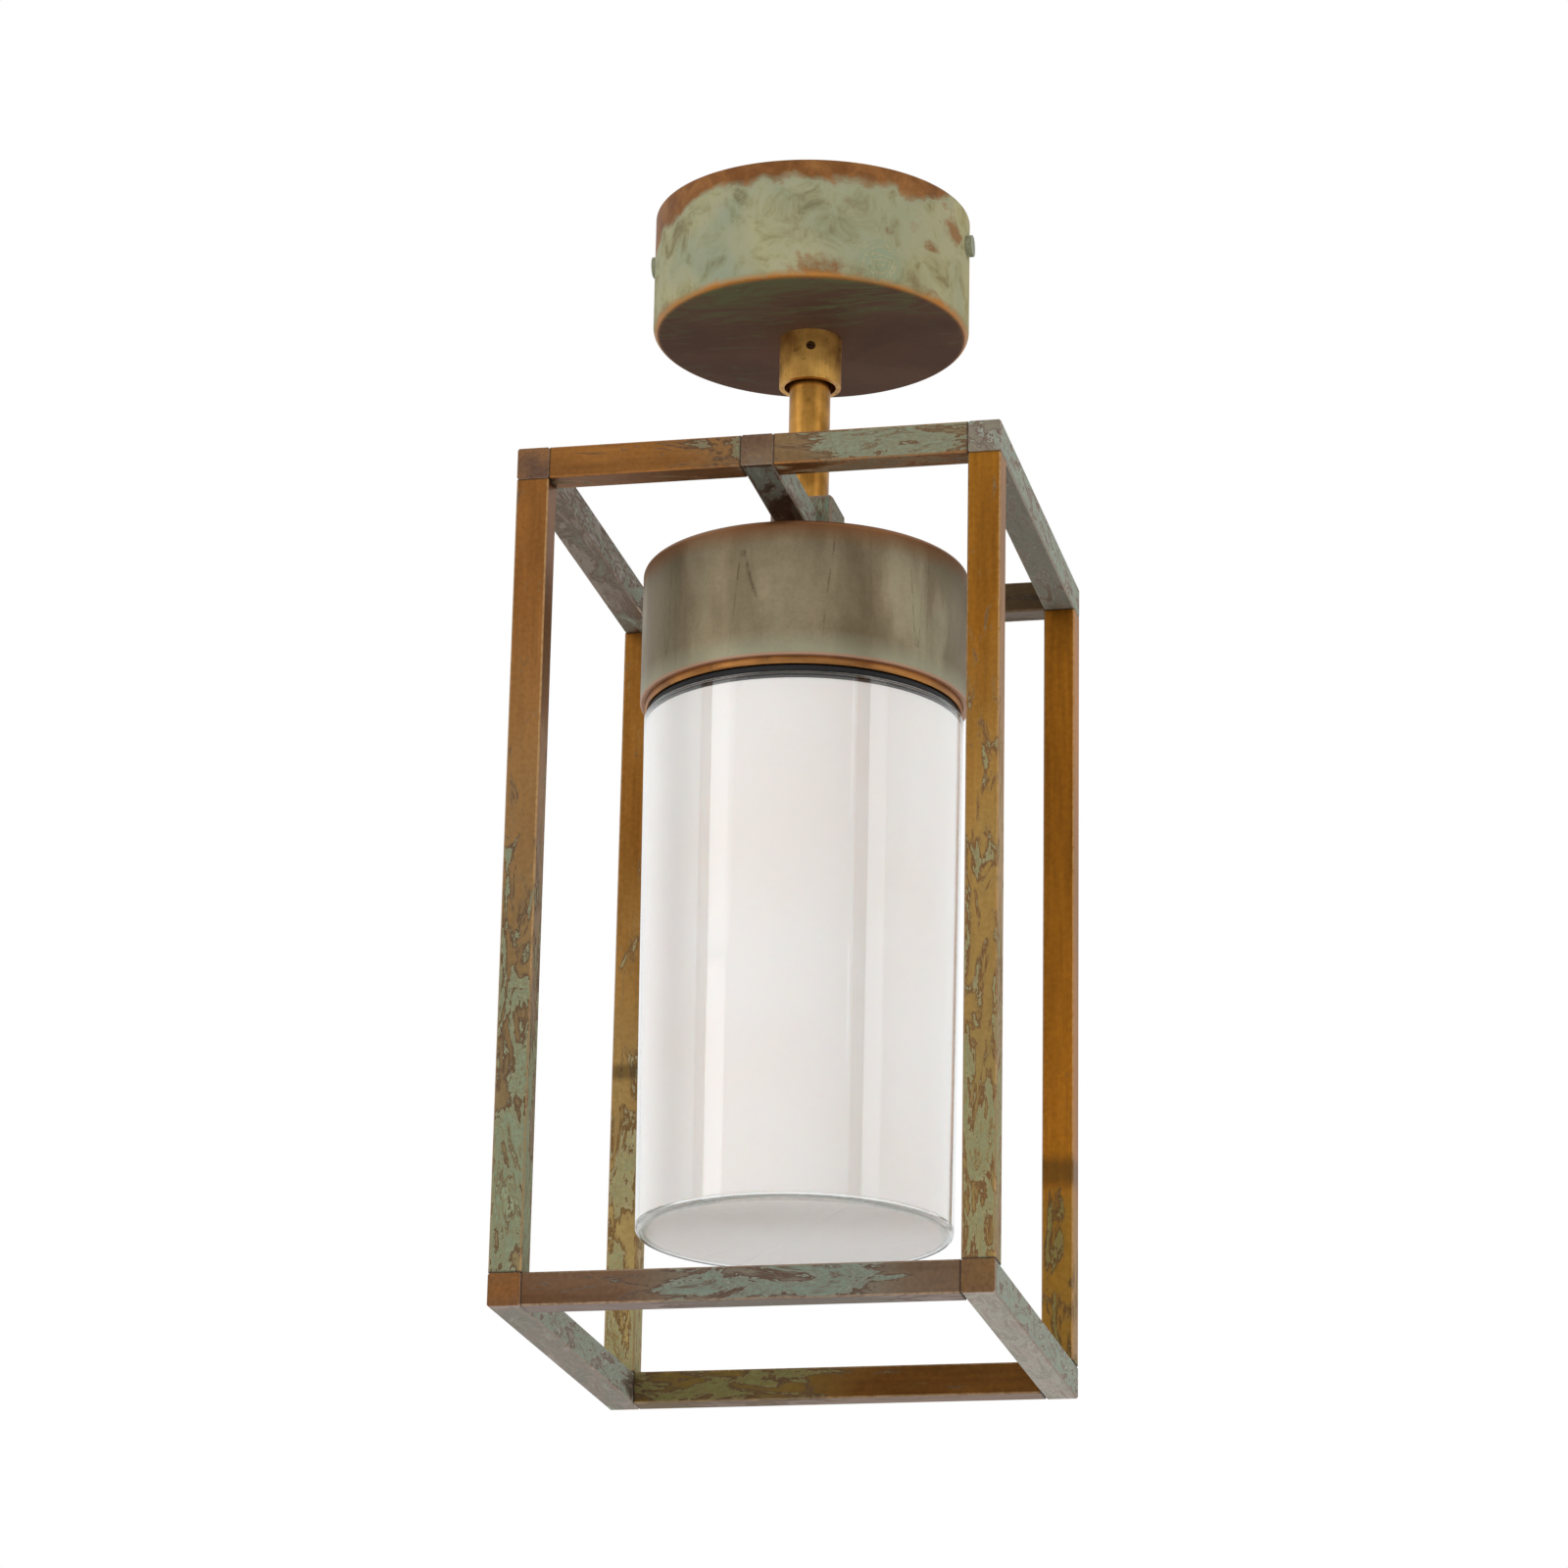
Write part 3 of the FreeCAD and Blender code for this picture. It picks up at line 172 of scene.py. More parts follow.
# %% The layers that grow on brass
def grown_layers(material, age, layers):
    """The colours of film, oxide, tide line and crust, in the order in which they grow."""
    film, oxide, tide, crust = layers
    stops = [(0, film), (1, crust), (0.10, oxide), (0.19, oxide), (0.23, tide), (0.28, film)]
    stops += [(0.40, crust), (0.52, film), (0.60, oxide), (0.66, tide), (0.74, film)]
    return add(material, "ValToRGB", {"Fac": age}, stops)


# %% The square bar finish
FINE_LINES = 1.2
CRUST = 6.5
FILM = 26
SPECKLE = 1.5
JOINT_DARKENING = 0.7


def square_bar_brass(node, along, growth, bare, layers, under, edge, stains=(), dark_ends=True):
    """Drawn, acid-aged brass bar.

    growth pairs a place along the bar in mm with its share of crust. bare and under are pairs of
    shades: light and dark metal, and the dark and light of the underside, which are partly patina
    and partly painted light and shade. layers are the colours of film, oxide, tide line and crust.
    stains pairs a place with the reach of a dark band.
    """
    material, shader = new_material("aged brass bar, " + node.replace("_", " "))
    here = surroundings(material)
    place = here["place"]
    position = here["axes"]["XYZ".index(along)]
    first, last = growth[0][0], growth[-1][0]
    spot = add(
        material, "MapRange", {"Value": position, "From Min": first / 1000, "From Max": last / 1000}
    )
    shares = [((at - first) / (last - first), amount) for at, amount in growth]
    share = add(material, "ValToRGB", {"Fac": spot}, shares)
    drawn = [0.05 if axis == along else 1 for axis in "XYZ"]
    drawn = add(material, "VectorMath", {0: place, 1: drawn}, operation="MULTIPLY")
    lines = add(
        material, "TexNoise", {"Vector": drawn, "Scale": per_metre(FINE_LINES), "Detail": 4}
    )
    flowed = [0.3 if axis == along else 1 for axis in "XYZ"]
    flowed = add(material, "VectorMath", {0: place, 1: flowed}, operation="MULTIPLY")
    patches = add(
        material,
        "TexNoise",
        {
            "Vector": flowed,
            "Scale": per_metre(CRUST),
            "Detail": 9,
            "Roughness": 0.68,
            "Distortion": 0.8,
        },
    )
    clouds = add(material, "TexNoise", {"Vector": flowed, "Scale": per_metre(FILM), "Detail": 5})
    speckle = add(
        material,
        "TexNoise",
        {"Vector": place, "Scale": per_metre(SPECKLE), "Detail": 4, "Roughness": 0.6},
    )

    metal = add(material, "ValToRGB", {"Fac": clouds}, [(0.36, bare[1]), (0.62, bare[0])])
    metal = grained(material, metal, lines, 0.82, 1.12)
    film, crust = layers[0], layers[-1]
    veil = add(material, "Math", {0: clouds, 1: 0.5, 2: share}, operation="MULTIPLY_ADD")
    veil = add(
        material, "MapRange", {"Value": veil, "From Min": 0.36, "From Max": 0.85, "To Max": 0.85}
    )
    filmed = add(material, "MixRGB", {"Fac": veil, "Color1": metal, "Color2": film})

    age = add(
        material, "Math", {0: share, 1: 0.42, 2: patches.outputs[0]}, operation="MULTIPLY_ADD"
    )
    age = add(material, "Math", {0: speckle, 1: 0.09, 2: age}, operation="MULTIPLY_ADD")
    age = add(material, "Math", {0: lines, 1: 0.16, 2: age}, operation="MULTIPLY_ADD")
    age = add(material, "MapRange", {"Value": age, "From Min": 0.775, "From Max": 1.17})
    layered = grown_layers(material, age, layers)
    grown = add(material, "MapRange", {"Value": age, "From Max": 0.13, "To Max": 0.92})
    aged = add(material, "MixRGB", {"Fac": grown, "Color1": filmed, "Color2": layered})
    aged = grained(material, aged, speckle, 0.84, 1.12)

    # The underside colour is partly its own patina and partly painted light and shade.
    dark, light = under
    shades = [(0.34, dark), (0.70, crust), (0.46, light), (0.54, dark), (0.6, light)]
    below = add(material, "ValToRGB", {"Fac": patches}, shades)
    share_below = add(material, "Math", {0: here["under"], 1: 0.65}, operation="MULTIPLY")
    shaded = add(material, "MixRGB", {"Fac": share_below, "Color1": aged, "Color2": below})
    # Pale edges: partly rubbed wear, partly painted highlights on the chamfers.
    edge_wear_and_highlight = add(
        material,
        "MapRange",
        {"Value": speckle, "From Min": 0.3, "From Max": 0.6, "To Min": 0.25, "To Max": 0.85},
    )
    rubbed_and_highlit = add(material, "Math", {0: here["edge"], 1: edge_wear_and_highlight}, operation="MULTIPLY")
    colour = add(material, "MixRGB", {"Fac": rubbed_and_highlit, "Color1": shaded, "Color2": edge})

    for at, reach in stains:
        wavering = add(
            material, "Math", {0: clouds, 1: reach / 1500, 2: position}, operation="MULTIPLY_ADD"
        )
        colour = banded(
            material,
            colour,
            wavering,
            (at + reach / 3) / 1000,
            reach / 1000,
            reach / 4000,
            0.6,
            "#4a3a1e",
            interpolation_type="SMOOTHSTEP",
        )
    # Darker within 0.7 mm of each end, where two bars meet.
    if dark_ends:
        low, high = (corner["XYZ".index(along)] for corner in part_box(node))
        half = (high - low) / 2
        start, full = half - JOINT_DARKENING / 1000, half - SEAM
        colour = banded(material, colour, position, (low + high) / 2, start, full, 0.85, "#2e2218")

    metallic = add(material, "MapRange", {"Value": grown, "To Min": 0.9, "To Max": 0.15})
    rough = add(material, "MapRange", {"Value": grown, "To Min": 0.4, "To Max": 0.72})
    rough = add(material, "Math", {0: lines, 1: 0.14, 2: rough}, operation="MULTIPLY_ADD")
    height = add(
        material, "Math", {0: age, 1: 1.5, 2: speckle.outputs[0]}, operation="MULTIPLY_ADD"
    )
    bump = add(material, "Bump", {"Strength": 0.4, "Distance": 0.00012, "Height": height})
    surface = {"Base Color": colour, "Metallic": metallic, "Roughness": rough, "Normal": bump}
    connect(material, shader, surface)
    return material


# %% Dress a piece of the frame
def dress(material, *names):
    """Give pieces of the frame a finish of their own."""
    print(material.name, "on", ", ".join(names))
    for name in names:
        for slot in frame["nodes"][name].material_slots:
            slot.material = material


# %% The uprights: ochre above, film and crust below
for node, growth, bare, layers, stains in (
    (
        "upright_front_left",
        [(-360, 0.62), (-318, 0.6), (-290, 0.44), (-240, 0.34), (-185, 0.16), (-110, 0.06)],
        ("#9c6630", "#7d5126"),
        ("#8f8460", "#6b4f35", "#adbb96", "#95a586"),
        [],
    ),
    (
        "upright_front_right",
        [(-360, 0.5), (-322, 0.62), (-285, 0.44), (-230, 0.3), (-170, 0.16), (-110, 0.03)],
        ("#ab7222", "#8e5b1a"),
        ("#9f8f5c", "#80582f", "#b0b488", "#9da07a"),
        [],
    ),
    (
        "upright_rear_left",
        [(-360, 0.62), (-300, 0.5), (-270, 0.4), (-225, 0.2), (-110, 0.04)],
        ("#a26c2a", "#83541e"),
        ("#b8a46c", "#85602f", "#c2c096", "#acac80"),
        [(-262, 4)],
    ),
    (
        "upright_rear_right",
        [(-360, 0.36), (-312, 0.3), (-302, 0.05), (-110, 0.0)],
        ("#b0701e", "#8f5b18"),
        ("#8f7838", "#6f4e22", "#a29a5c", "#8c8c50"),
        [(-299, 7)],
    ),
):
    under = ("#6b5138", "#7d6448")
    finish = square_bar_brass(node, "Z", growth, bare, layers, under, "#b08c60", stains)
    dress(finish, node)

# %% The front and rear rails: the top front one ochre then teal, the rear ones darker
for nodes, growth, bare, layers, under, edge in (
    (
        ["top_front_rail_left"],
        [(-75, 0.08), (-34, 0.04), (-14, 0.3), (0, 0.4)],
        ("#a06b33", "#7a5028"),
        ("#867050", "#65452a", "#9c9574", "#8a8c6a"),
        ("#5f3c1a", "#7a5024"),
        "#a8703a",
    ),
    (
        ["top_front_rail_right"],
        [(0, 0.22), (14, 0.3), (26, 0.62), (52, 0.7), (65, 0.5)],
        ("#8c6238", "#6f4c2c"),
        ("#8d8568", "#745536", "#a3ab90", "#97a086"),
        ("#5f3512", "#84501c"),
        "#b0743a",
    ),
    (
        ["bottom_front_rail"],
        [(-75, 0.1), (-34, 0.16), (-16, 0.5), (8, 0.66), (36, 0.62), (50, 0.3), (75, 0.2)],
        ("#76543a", "#5f432c"),
        ("#80796a", "#634a3a", "#9fae9c", "#8a9c8a"),
        ("#75625a", "#8a766c"),
        "#a98e74",
    ),
    (
        ["top_rear_rail_left", "top_rear_rail_right"],
        [(-75, 0.25), (75, 0.3)],
        ("#523a26", "#3d2b1d"),
        ("#5c5038", "#4a3626", "#7d8668", "#6c7458"),
        ("#4f3f30", "#66543f"),
        "#806a50",
    ),
    (
        ["bottom_rear_rail"],
        [(-75, 0.62), (-20, 0.5), (8, 0.2), (75, 0.04)],
        ("#8a5c2a", "#6a441a"),
        ("#766634", "#5a3f24", "#8a8654", "#7c7c48"),
        ("#6f5a4c", "#80695a"),
        "#9a7e5c",
    ),
):
    one = len(nodes) == 1
    finish = square_bar_brass(nodes[0], "X", growth, bare, layers, under, edge, dark_ends=one)
    dress(finish, *nodes)

# %% The side rails, crossbars and hub: matt, grey green and purple brown
RAIL_LAYERS = ("#918d7e", "#7b6456", "#c3ccba", "#a5b4a3")
for node, share, front, ends, under in (
    ("top_side_rail_left", 0.5, 0.0, "#a07040", ("#665240", "#7d6c5c")),
    ("top_side_rail_right", 0.66, 0.42, "#83705c", ("#6a5f50", "#84786a")),
    ("crossbar_front", 0.56, 0.14, "#7f644a", ("#2a2016", "#3c3022")),
    ("crossbar_rear", 0.5, 0.3, "#70583f", ("#2d2318", "#403426")),
    ("bottom_side_rail_left", 0.62, 0.0, "#8a5c30", ("#7f6f66", "#a3958a")),
    ("bottom_side_rail_right", 0.7, 0.04, "#80603c", ("#a5978c", "#cfc5b8")),
):
    lowest, highest = (round(corner[1] * 1000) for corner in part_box(node))
    finish = square_bar_brass(
        node,
        "Y",
        [(lowest, front), (lowest + 1, front), (lowest + 3, share), (highest, share)],
        (ends, "#6a5040"),
        RAIL_LAYERS,
        under,
        "#a99484",
        dark_ends=node == "crossbar_rear",
    )
    dress(finish, node)
dress(
    square_bar_brass(
        "hub_cube",
        "Z",
        [(-118, 0.2), (-108, 0.36), (-102, 0.8), (-97, 0.9)],
        ("#8a6a4c", "#6a4d33"),
        ("#85735c", "#6f5440", "#a3b39a", "#84a08a"),
        ("#3f3226", "#54463a"),
        "#a98f80",
        dark_ends=False,
    ),
    "hub_cube",
)

# %% [markdown]
# ## Spun, blown and turned pieces
# The rose and the cup are spun from sheet, the glasses are blown, and the ring is turned. Each is
# a half section swept round the axis. A screw modifier or a curve could do it, but a short loop
# in bmesh keeps the section exact, and lets rounded corners be arcs. Sections are read off the
# frame's own boxes, so each piece stays where its plain solid is.

# %% The lathe
AROUND = 160
SHARP = math.radians(30)
SAME_PLACE = 1e-7
body_of = {
    node: body for body, nodes in frame["record"]["behaviour"]["bodies"].items() for node in nodes
}


def arc(centre_radius, centre_height, radius, start, end, steps=8):
    """Points on a rounded corner of a section, between two angles in degrees."""
    points = []
    for step in range(steps + 1):
        angle = math.radians(start + (end - start) * step / steps)
        across = centre_radius + radius * math.cos(angle)
        points.append((across, centre_height + radius * math.sin(angle)))
    return points


def stand_in(name, node, shape, material, sharp=SHARP):
    """Make a smooth piece of a bmesh, to stand for a node of the frame."""
    bmesh.ops.recalc_face_normals(shape, faces=shape.faces)
    for face in shape.faces:
        face.smooth = True
    for edge in shape.edges:
        edge.smooth = edge.calc_face_angle(0) < sharp
    mesh = bpy.data.meshes.new(name)
    shape.to_mesh(mesh)
    shape.free()
    mesh.materials.append(material)
    piece = bpy.data.objects.new(name, mesh)
    bpy.context.scene.collection.objects.link(piece)
    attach(piece, body_of[node])
    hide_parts(node)
    print(name, "has", len(mesh.polygons), "faces")
    return piece


def lathe(name, node, section, material):
    """Spin a closed half section, (radius, height) in mm, into a piece that stands for a node."""
    shape = bmesh.new()
    rows = []
    for turn in range(AROUND):
        angle = 2 * math.pi * turn / AROUND
        across = math.cos(angle) / 1000
        along = math.sin(angle) / 1000
        rows.append([shape.verts.new((r * across, r * along, z / 1000)) for r, z in section])
    for row, following in zip(rows, rows[1:] + rows[:1]):
        for corner in range(len(section)):
            after = (corner + 1) % len(section)
            ring = (row[corner], following[corner], following[after], row[after])
            if section[corner][0] or section[after][0]:
                shape.faces.new(ring)
    bmesh.ops.remove_doubles(shape, verts=shape.verts, dist=SAME_PLACE)
    return stand_in(name, node, shape, material)


def extent(node):
    """A round node's outer radius, foot and top in millimetres."""
    lowest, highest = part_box(node)
    return highest[0] * 1000, lowest[2] * 1000, highest[2] * 1000


# %% [markdown]
# ## The rose: verdigris on spun sheet
# The rose is spun brass sheet, aged in a bath that left it sage green, with brown where the
# liquid ran off: an uneven band under the rim, stains low on the right, and a rubbed, coppery
# lower edge. The flat underside is dark brown, partly its own patina and partly painted shade,
# with green streaks at the front. One noise alone would look like paint, so broad clouds set the
# green, finer ones the stains, and each brown place is put where water sits.

# %% Stains and a dried drop
# Brown stains on the rose: right, front, up, and how far each spreads, in millimetres.
STAINS = [
    (14, -48, -37, 13),
    (24, -43.5, -37, 9),
    (23, -45, -14, 7),
    (33, -38, -21, 5),
    (44, -25, -22, 6),
    (49, -12, -12, 10),
    (-40, -31, -9, 8),
    (-41, -29, -38, 8),
    (42, -28, -38, 9),
]
# How many times a stain is wider than it is high.
FLATNESS = 1.7
# The middle of the ringed stain where a drop dried, and the gap between its rings.
SWIRL = (31, -39.8, -33)
SWIRL_GAP = 2.4


def nearest_stain(material, place):
    """How near the closest stain is, from 0 to 1."""
    flattened = add(material, "VectorMath", {0: place, 1: (1, 1, FLATNESS)}, operation="MULTIPLY")
    total = None
    for right, front, up, reach in STAINS:
        off = add(
            material,
            "VectorMath",
            {0: flattened, 1: (right / 1000, front / 1000, FLATNESS * up / 1000)},
            operation="DISTANCE",
        )
        near = add(
            material,
            "MapRange",
            {"Value": off.outputs["Value"], "From Min": reach / 1000, "From Max": reach / 4000},
        )
        if total is not None:
            near = add(material, "Math", {0: total, 1: near}, operation="MAXIMUM")
        total = near
    return total


def dried_drop(material, place, marks, colour):
    """Lay the rings of a dried drop over a colour."""
    middle = [value / 1000 for value in SWIRL]
    swirl = add(material, "VectorMath", {0: place, 1: middle}, operation="DISTANCE")
    swirl = swirl.outputs["Value"]
    wavering = add(material, "Math", {0: marks, 1: 0.016, 2: swirl}, operation="MULTIPLY_ADD")
    rings = add(
        material, "Math", {0: wavering, 1: 2 * math.pi * per_metre(SWIRL_GAP)}, operation="MULTIPLY"
    )
    rings = add(material, "Math", {0: rings}, operation="SINE")
    shades = [(0.0, "#93a98c"), (0.9, "#c2c39c"), (0.45, "#9c7f58")]
    rings = add(material, "ValToRGB", {"Fac": rings}, shades)
    ringed = add(
        material, "MapRange", {"Value": swirl, "From Min": 0.0105, "From Max": 0.005, "To Max": 0.5}
    )
    return add(material, "MixRGB", {"Fac": ringed, "Color1": colour, "Color2": rings})


# %% The underside of the rose
def brown_underside(material, place, forward, clouds):
    """Dark brown, partly patina and partly painted shade, with green smears, which gather at the
    front.
    """
    streaked = add(material, "VectorMath", {0: place, 1: (1, 3.5, 1)}, operation="MULTIPLY")
    smear = add(
        material,
        "TexNoise",
        {
            "Vector": streaked,
            "Scale": per_metre(26),
            "Detail": 9,
            "Roughness": 0.72,
            "Distortion": 1.5,
        },
    )
    frontal = add(
        material, "MapRange", {"Value": forward, "From Min": 0.0, "From Max": -0.046, "To Max": 0.2}
    )
    smear = add(material, "Math", {0: smear, 1: frontal}, operation="ADD")
    greened = add(material, "MapRange", {"Value": smear, "From Min": 0.56, "From Max": 0.74})
    brown = add(material, "ValToRGB", {"Fac": clouds}, [(0.35, "#60483a"), (0.65, "#715545")])
    return add(material, "MixRGB", {"Fac": greened, "Color1": brown, "Color2": "#696a49"})


# %% The verdigris finish
def verdigris_sheet(name):
    """Acid-aged sheet brass: powdery copper salts that hardly mirror, rubbed bare on its edge."""
    material, shader = new_material(name, Specular_IOR_Level=0.1)
    here = surroundings(material)
    place = here["place"]
    across, forward, height = here["axes"]
    clouds = add(
        material,
        "TexNoise",
        {"Vector": place, "Scale": per_metre(34), "Detail": 6, "Distortion": 0.5},
    )
    marks = add(
        material,
        "TexNoise",
        {"Vector": place, "Scale": per_metre(11), "Detail": 9, "Roughness": 0.7, "Distortion": 0.7},
    )
    grain = add(material, "TexNoise", {"Vector": place, "Scale": per_metre(1.4), "Detail": 4})
    shades = [(0.34, "#abb198"), (0.66, "#c4bf96"), (0.5, "#b9b797")]
    green = add(material, "ValToRGB", {"Fac": clouds}, shades)
    yellower = add(
        material, "MapRange", {"Value": across, "From Min": -0.01, "From Max": 0.04, "To Max": 0.35}
    )
    green = add(material, "MixRGB", {"Fac": yellower, "Color1": green, "Color2": "#c3b788"})
    shades = [(0.34, "#b09a78"), (0.62, "#ffffff"), (0.42, "#e0dac2"), (0.5, "#f6f6ea")]
    mottled = add(material, "ValToRGB", {"Fac": marks}, shades)
    green = add(
        material, "MixRGB", {"Fac": 0.7, "Color1": green, "Color2": mottled}, blend_type="MULTIPLY"
    )

    thick = add(
        material,
        "MapRange",
        {"Value": across, "From Min": 0.0, "From Max": -0.047, "To Min": -0.002, "To Max": 0.0055},
    )
    drift = add(material, "Math", {0: clouds, 1: -0.03, 2: height}, operation="MULTIPLY_ADD")
    drift = add(material, "Math", {0: marks, 1: 0.01, 2: drift}, operation="MULTIPLY_ADD")
    drift = add(material, "Math", {0: drift, 1: thick}, operation="ADD")
    band = add(material, "MapRange", {"Value": drift, "From Min": -0.0172, "From Max": -0.0135})
    shades = [(0.34, "#6f4526"), (0.66, "#a2703f"), (0.5, "#875931")]
    rim = add(material, "ValToRGB", {"Fac": marks}, shades)
    stained = add(material, "MixRGB", {"Fac": band, "Color1": green, "Color2": rim})
    tide = add(material, "ValToRGB", {"Fac": band}, [(0.04, 0), (0.5, 0), (0.2, 0.6)])
    stained = add(material, "MixRGB", {"Fac": tide, "Color1": stained, "Color2": "#b4b89a"})

    total = nearest_stain(material, place)
    total = add(material, "Math", {0: total, 1: 0.2, 2: marks.outputs[0]}, operation="MULTIPLY_ADD")
    total = add(material, "Math", {0: grain, 1: 0.1, 2: total}, operation="MULTIPLY_ADD")
    blot = add(
        material, "MapRange", {"Value": total, "From Min": 0.66, "From Max": 0.82, "To Max": 0.85}
    )
    stained = add(material, "MixRGB", {"Fac": blot, "Color1": stained, "Color2": rim})

    stained = dried_drop(material, place, marks, stained)

    ragged = add(material, "Math", {0: marks, 1: -0.004, 2: height}, operation="MULTIPLY_ADD")
    foot = add(material, "MapRange", {"Value": ragged, "From Min": -0.0393, "From Max": -0.0412})
    edged = add(material, "MixRGB", {"Fac": foot, "Color1": stained, "Color2": "#b0773c"})

    # The underside's dark brown is partly patina and partly painted shade.
    below = brown_underside(material, place, forward, clouds)
    colour = add(material, "MixRGB", {"Fac": here["under"], "Color1": edged, "Color2": below})

    bare = add(material, "Math", {0: band, 1: 0.6}, operation="MULTIPLY")
    bare = add(material, "Math", {0: bare, 1: foot}, operation="MAXIMUM")
    bare = add(material, "Math", {0: bare, 1: here["under"]}, operation="SUBTRACT")
    metallic = add(material, "MapRange", {"Value": bare, "To Max": 0.9})
    rough = add(material, "MapRange", {"Value": bare, "To Min": 0.75, "To Max": 0.38})
    lifted = add(material, "Math", {0: blot, 1: -1, 2: grain.outputs[0]}, operation="MULTIPLY_ADD")
    bump = add(material, "Bump", {"Strength": 0.3, "Distance": 0.0001, "Height": lifted})
    surface = {"Base Color": colour, "Metallic": metallic, "Roughness": rough, "Normal": bump}
    connect(material, shader, surface)
    return material


# %% Spin the rose
ROSE_WALL = 1.5
ROSE_ROUND = 3
NIPPLE_HOLE = 5.1
rose_radius, rose_foot, rose_top = extent("rose_cover")
inner = rose_radius - ROSE_WALL
bend = ROSE_ROUND - ROSE_WALL
rose_section = (
    [(NIPPLE_HOLE, rose_foot)]
    + arc(rose_radius - ROSE_ROUND, rose_foot + ROSE_ROUND, ROSE_ROUND, -90, 0)
    + [(rose_radius, rose_top), (inner, rose_top)]
    + arc(inner - bend, rose_foot + ROSE_WALL + bend, bend, 0, -90)
    + [(NIPPLE_HOLE, rose_foot + ROSE_WALL)]
)
lathe("rose_spun", "rose_cover", rose_section, verdigris_sheet("verdigris sheet brass"))

# %% [markdown]
# ## The cup: olive brown sheet
# The cup is the same sheet in a calmer patina: grey olive with pale and dark runs where liquid
# ran down, painted shade towards its left and right sides, a warm brown band round its top, dark
# specks and a few scratches, and a painted highlight line along its foot. A scratch is a thin
# slice of a noise that was drawn out: where its value passes one level, a long line appears.

# %% Scratches
def scratches(material, place, marks):
    """Thin slices of a drawn-out noise, kept only here and there."""
    slanted = add(
        material, "Mapping", {"Vector": place, "Rotation": (0.35, 0.2, 0.4), "Scale": (1, 1, 0.07)}
    )
    scratch = add(
        material,
        "TexNoise",
        {"Vector": slanted, "Scale": per_metre(13), "Detail": 1, "Distortion": 0.2},
    )
    slices = [(0, 0), (1, 0), (0.404, 0), (0.41, 1), (0.416, 0), (0.584, 0), (0.59, 1), (0.596, 0)]
    scratch = add(material, "ValToRGB", {"Fac": scratch}, slices)
    here_and_there = add(
        material, "MapRange", {"Value": marks, "From Min": 0.46, "From Max": 0.56, "To Max": 0.8}
    )
    return add(material, "Math", {0: scratch, 1: here_and_there}, operation="MULTIPLY")


# %% The olive finish
def olive_sheet(name, foot, top):
    """Aged sheet brass with runs, specks and scratches; foot and top are its heights in metres."""
    material, shader = new_material(name)
    here = surroundings(material)
    place = here["place"]
    across, _, height = here["axes"]
    clouds = add(
        material,
        "TexNoise",
        {"Vector": place, "Scale": per_metre(30), "Detail": 6, "Distortion": 0.5},
    )
    marks = add(
        material,
        "TexNoise",
        {"Vector": place, "Scale": per_metre(6), "Detail": 9, "Roughness": 0.72},
    )
    grain = add(
        material,
        "TexNoise",
        {"Vector": place, "Scale": per_metre(1.2), "Detail": 4, "Roughness": 0.7},
    )
    shades = [(0.34, "#86775c"), (0.68, "#9e8e72"), (0.5, "#94866a")]
    olive = add(material, "ValToRGB", {"Fac": clouds}, shades)
    olive = grained(material, olive, marks, 0.86, 1.14)
    olive = grained(material, olive, grain, 0.88, 1.1)

    drawn_down = add(material, "VectorMath", {0: place, 1: (1, 1, 0.3)}, operation="MULTIPLY")
    runs = add(material, "TexNoise", {"Vector": drawn_down, "Scale": per_metre(16), "Detail": 5})
    # Painted shade: the cup is darker towards its left and right sides, added to the runs.
    side_shade = add(material, "Math", {0: across}, operation="ABSOLUTE")
    side_shade = add(
        material,
        "MapRange",
        {"Value": side_shade, "From Min": 0.014, "From Max": 0.042, "To Max": 0.22},
    )
    darker = add(material, "Math", {0: runs, 1: side_shade}, operation="ADD")
    darker = add(
        material, "MapRange", {"Value": darker, "From Min": 0.5, "From Max": 0.7, "To Max": 0.6}
    )
    olive = add(material, "MixRGB", {"Fac": darker, "Color1": olive, "Color2": "#5f5238"})
    ghosts = add(
        material, "MapRange", {"Value": runs, "From Min": 0.44, "From Max": 0.3, "To Max": 0.3}
    )
    olive = add(material, "MixRGB", {"Fac": ghosts, "Color1": olive, "Color2": "#a8a88a"})

    specks = add(
        material, "MapRange", {"Value": grain, "From Min": 0.7, "From Max": 0.76, "To Max": 0.7}
    )
    olive = add(material, "MixRGB", {"Fac": specks, "Color1": olive, "Color2": "#3f3524"})
    scratch = scratches(material, place, marks)
    olive = add(material, "MixRGB", {"Fac": scratch, "Color1": olive, "Color2": "#4c4028"})

    wavy = add(material, "Math", {0: clouds, 1: 0.004, 2: height}, operation="MULTIPLY_ADD")
    shoulder = add(
        material, "MapRange", {"Value": wavy, "From Min": top - 0.006, "From Max": top + 0.0015}
    )
    warm = add(material, "MixRGB", {"Fac": shoulder, "Color1": olive, "Color2": "#8a562a"})
    paler = add(
        material,
        "MapRange",
        {"Value": wavy, "From Min": foot + 0.01, "From Max": foot + 0.003, "To Max": 0.6},
    )
    warm = add(material, "MixRGB", {"Fac": paler, "Color1": warm, "Color2": "#a5a68c"})
    # A painted highlight line along the rounded foot of the cup.
    rim = add(
        material,
        "MapRange",
        {"Value": height, "From Min": foot + 0.0011, "From Max": foot + 0.0004},
    )
    colour = add(material, "MixRGB", {"Fac": rim, "Color1": warm, "Color2": "#b08a70"})
    rough = add(material, "MapRange", {"Value": marks, "To Min": 0.34, "To Max": 0.58})
    relief = add(
        material, "Math", {0: scratch, 1: -2, 2: grain.outputs[0]}, operation="MULTIPLY_ADD"
    )
    bump = add(material, "Bump", {"Strength": 0.3, "Distance": 0.0001, "Height": relief})
    surface = {"Base Color": colour, "Roughness": rough, "Normal": bump, "Metallic": 0.62}
    connect(material, shader, surface)
    return material


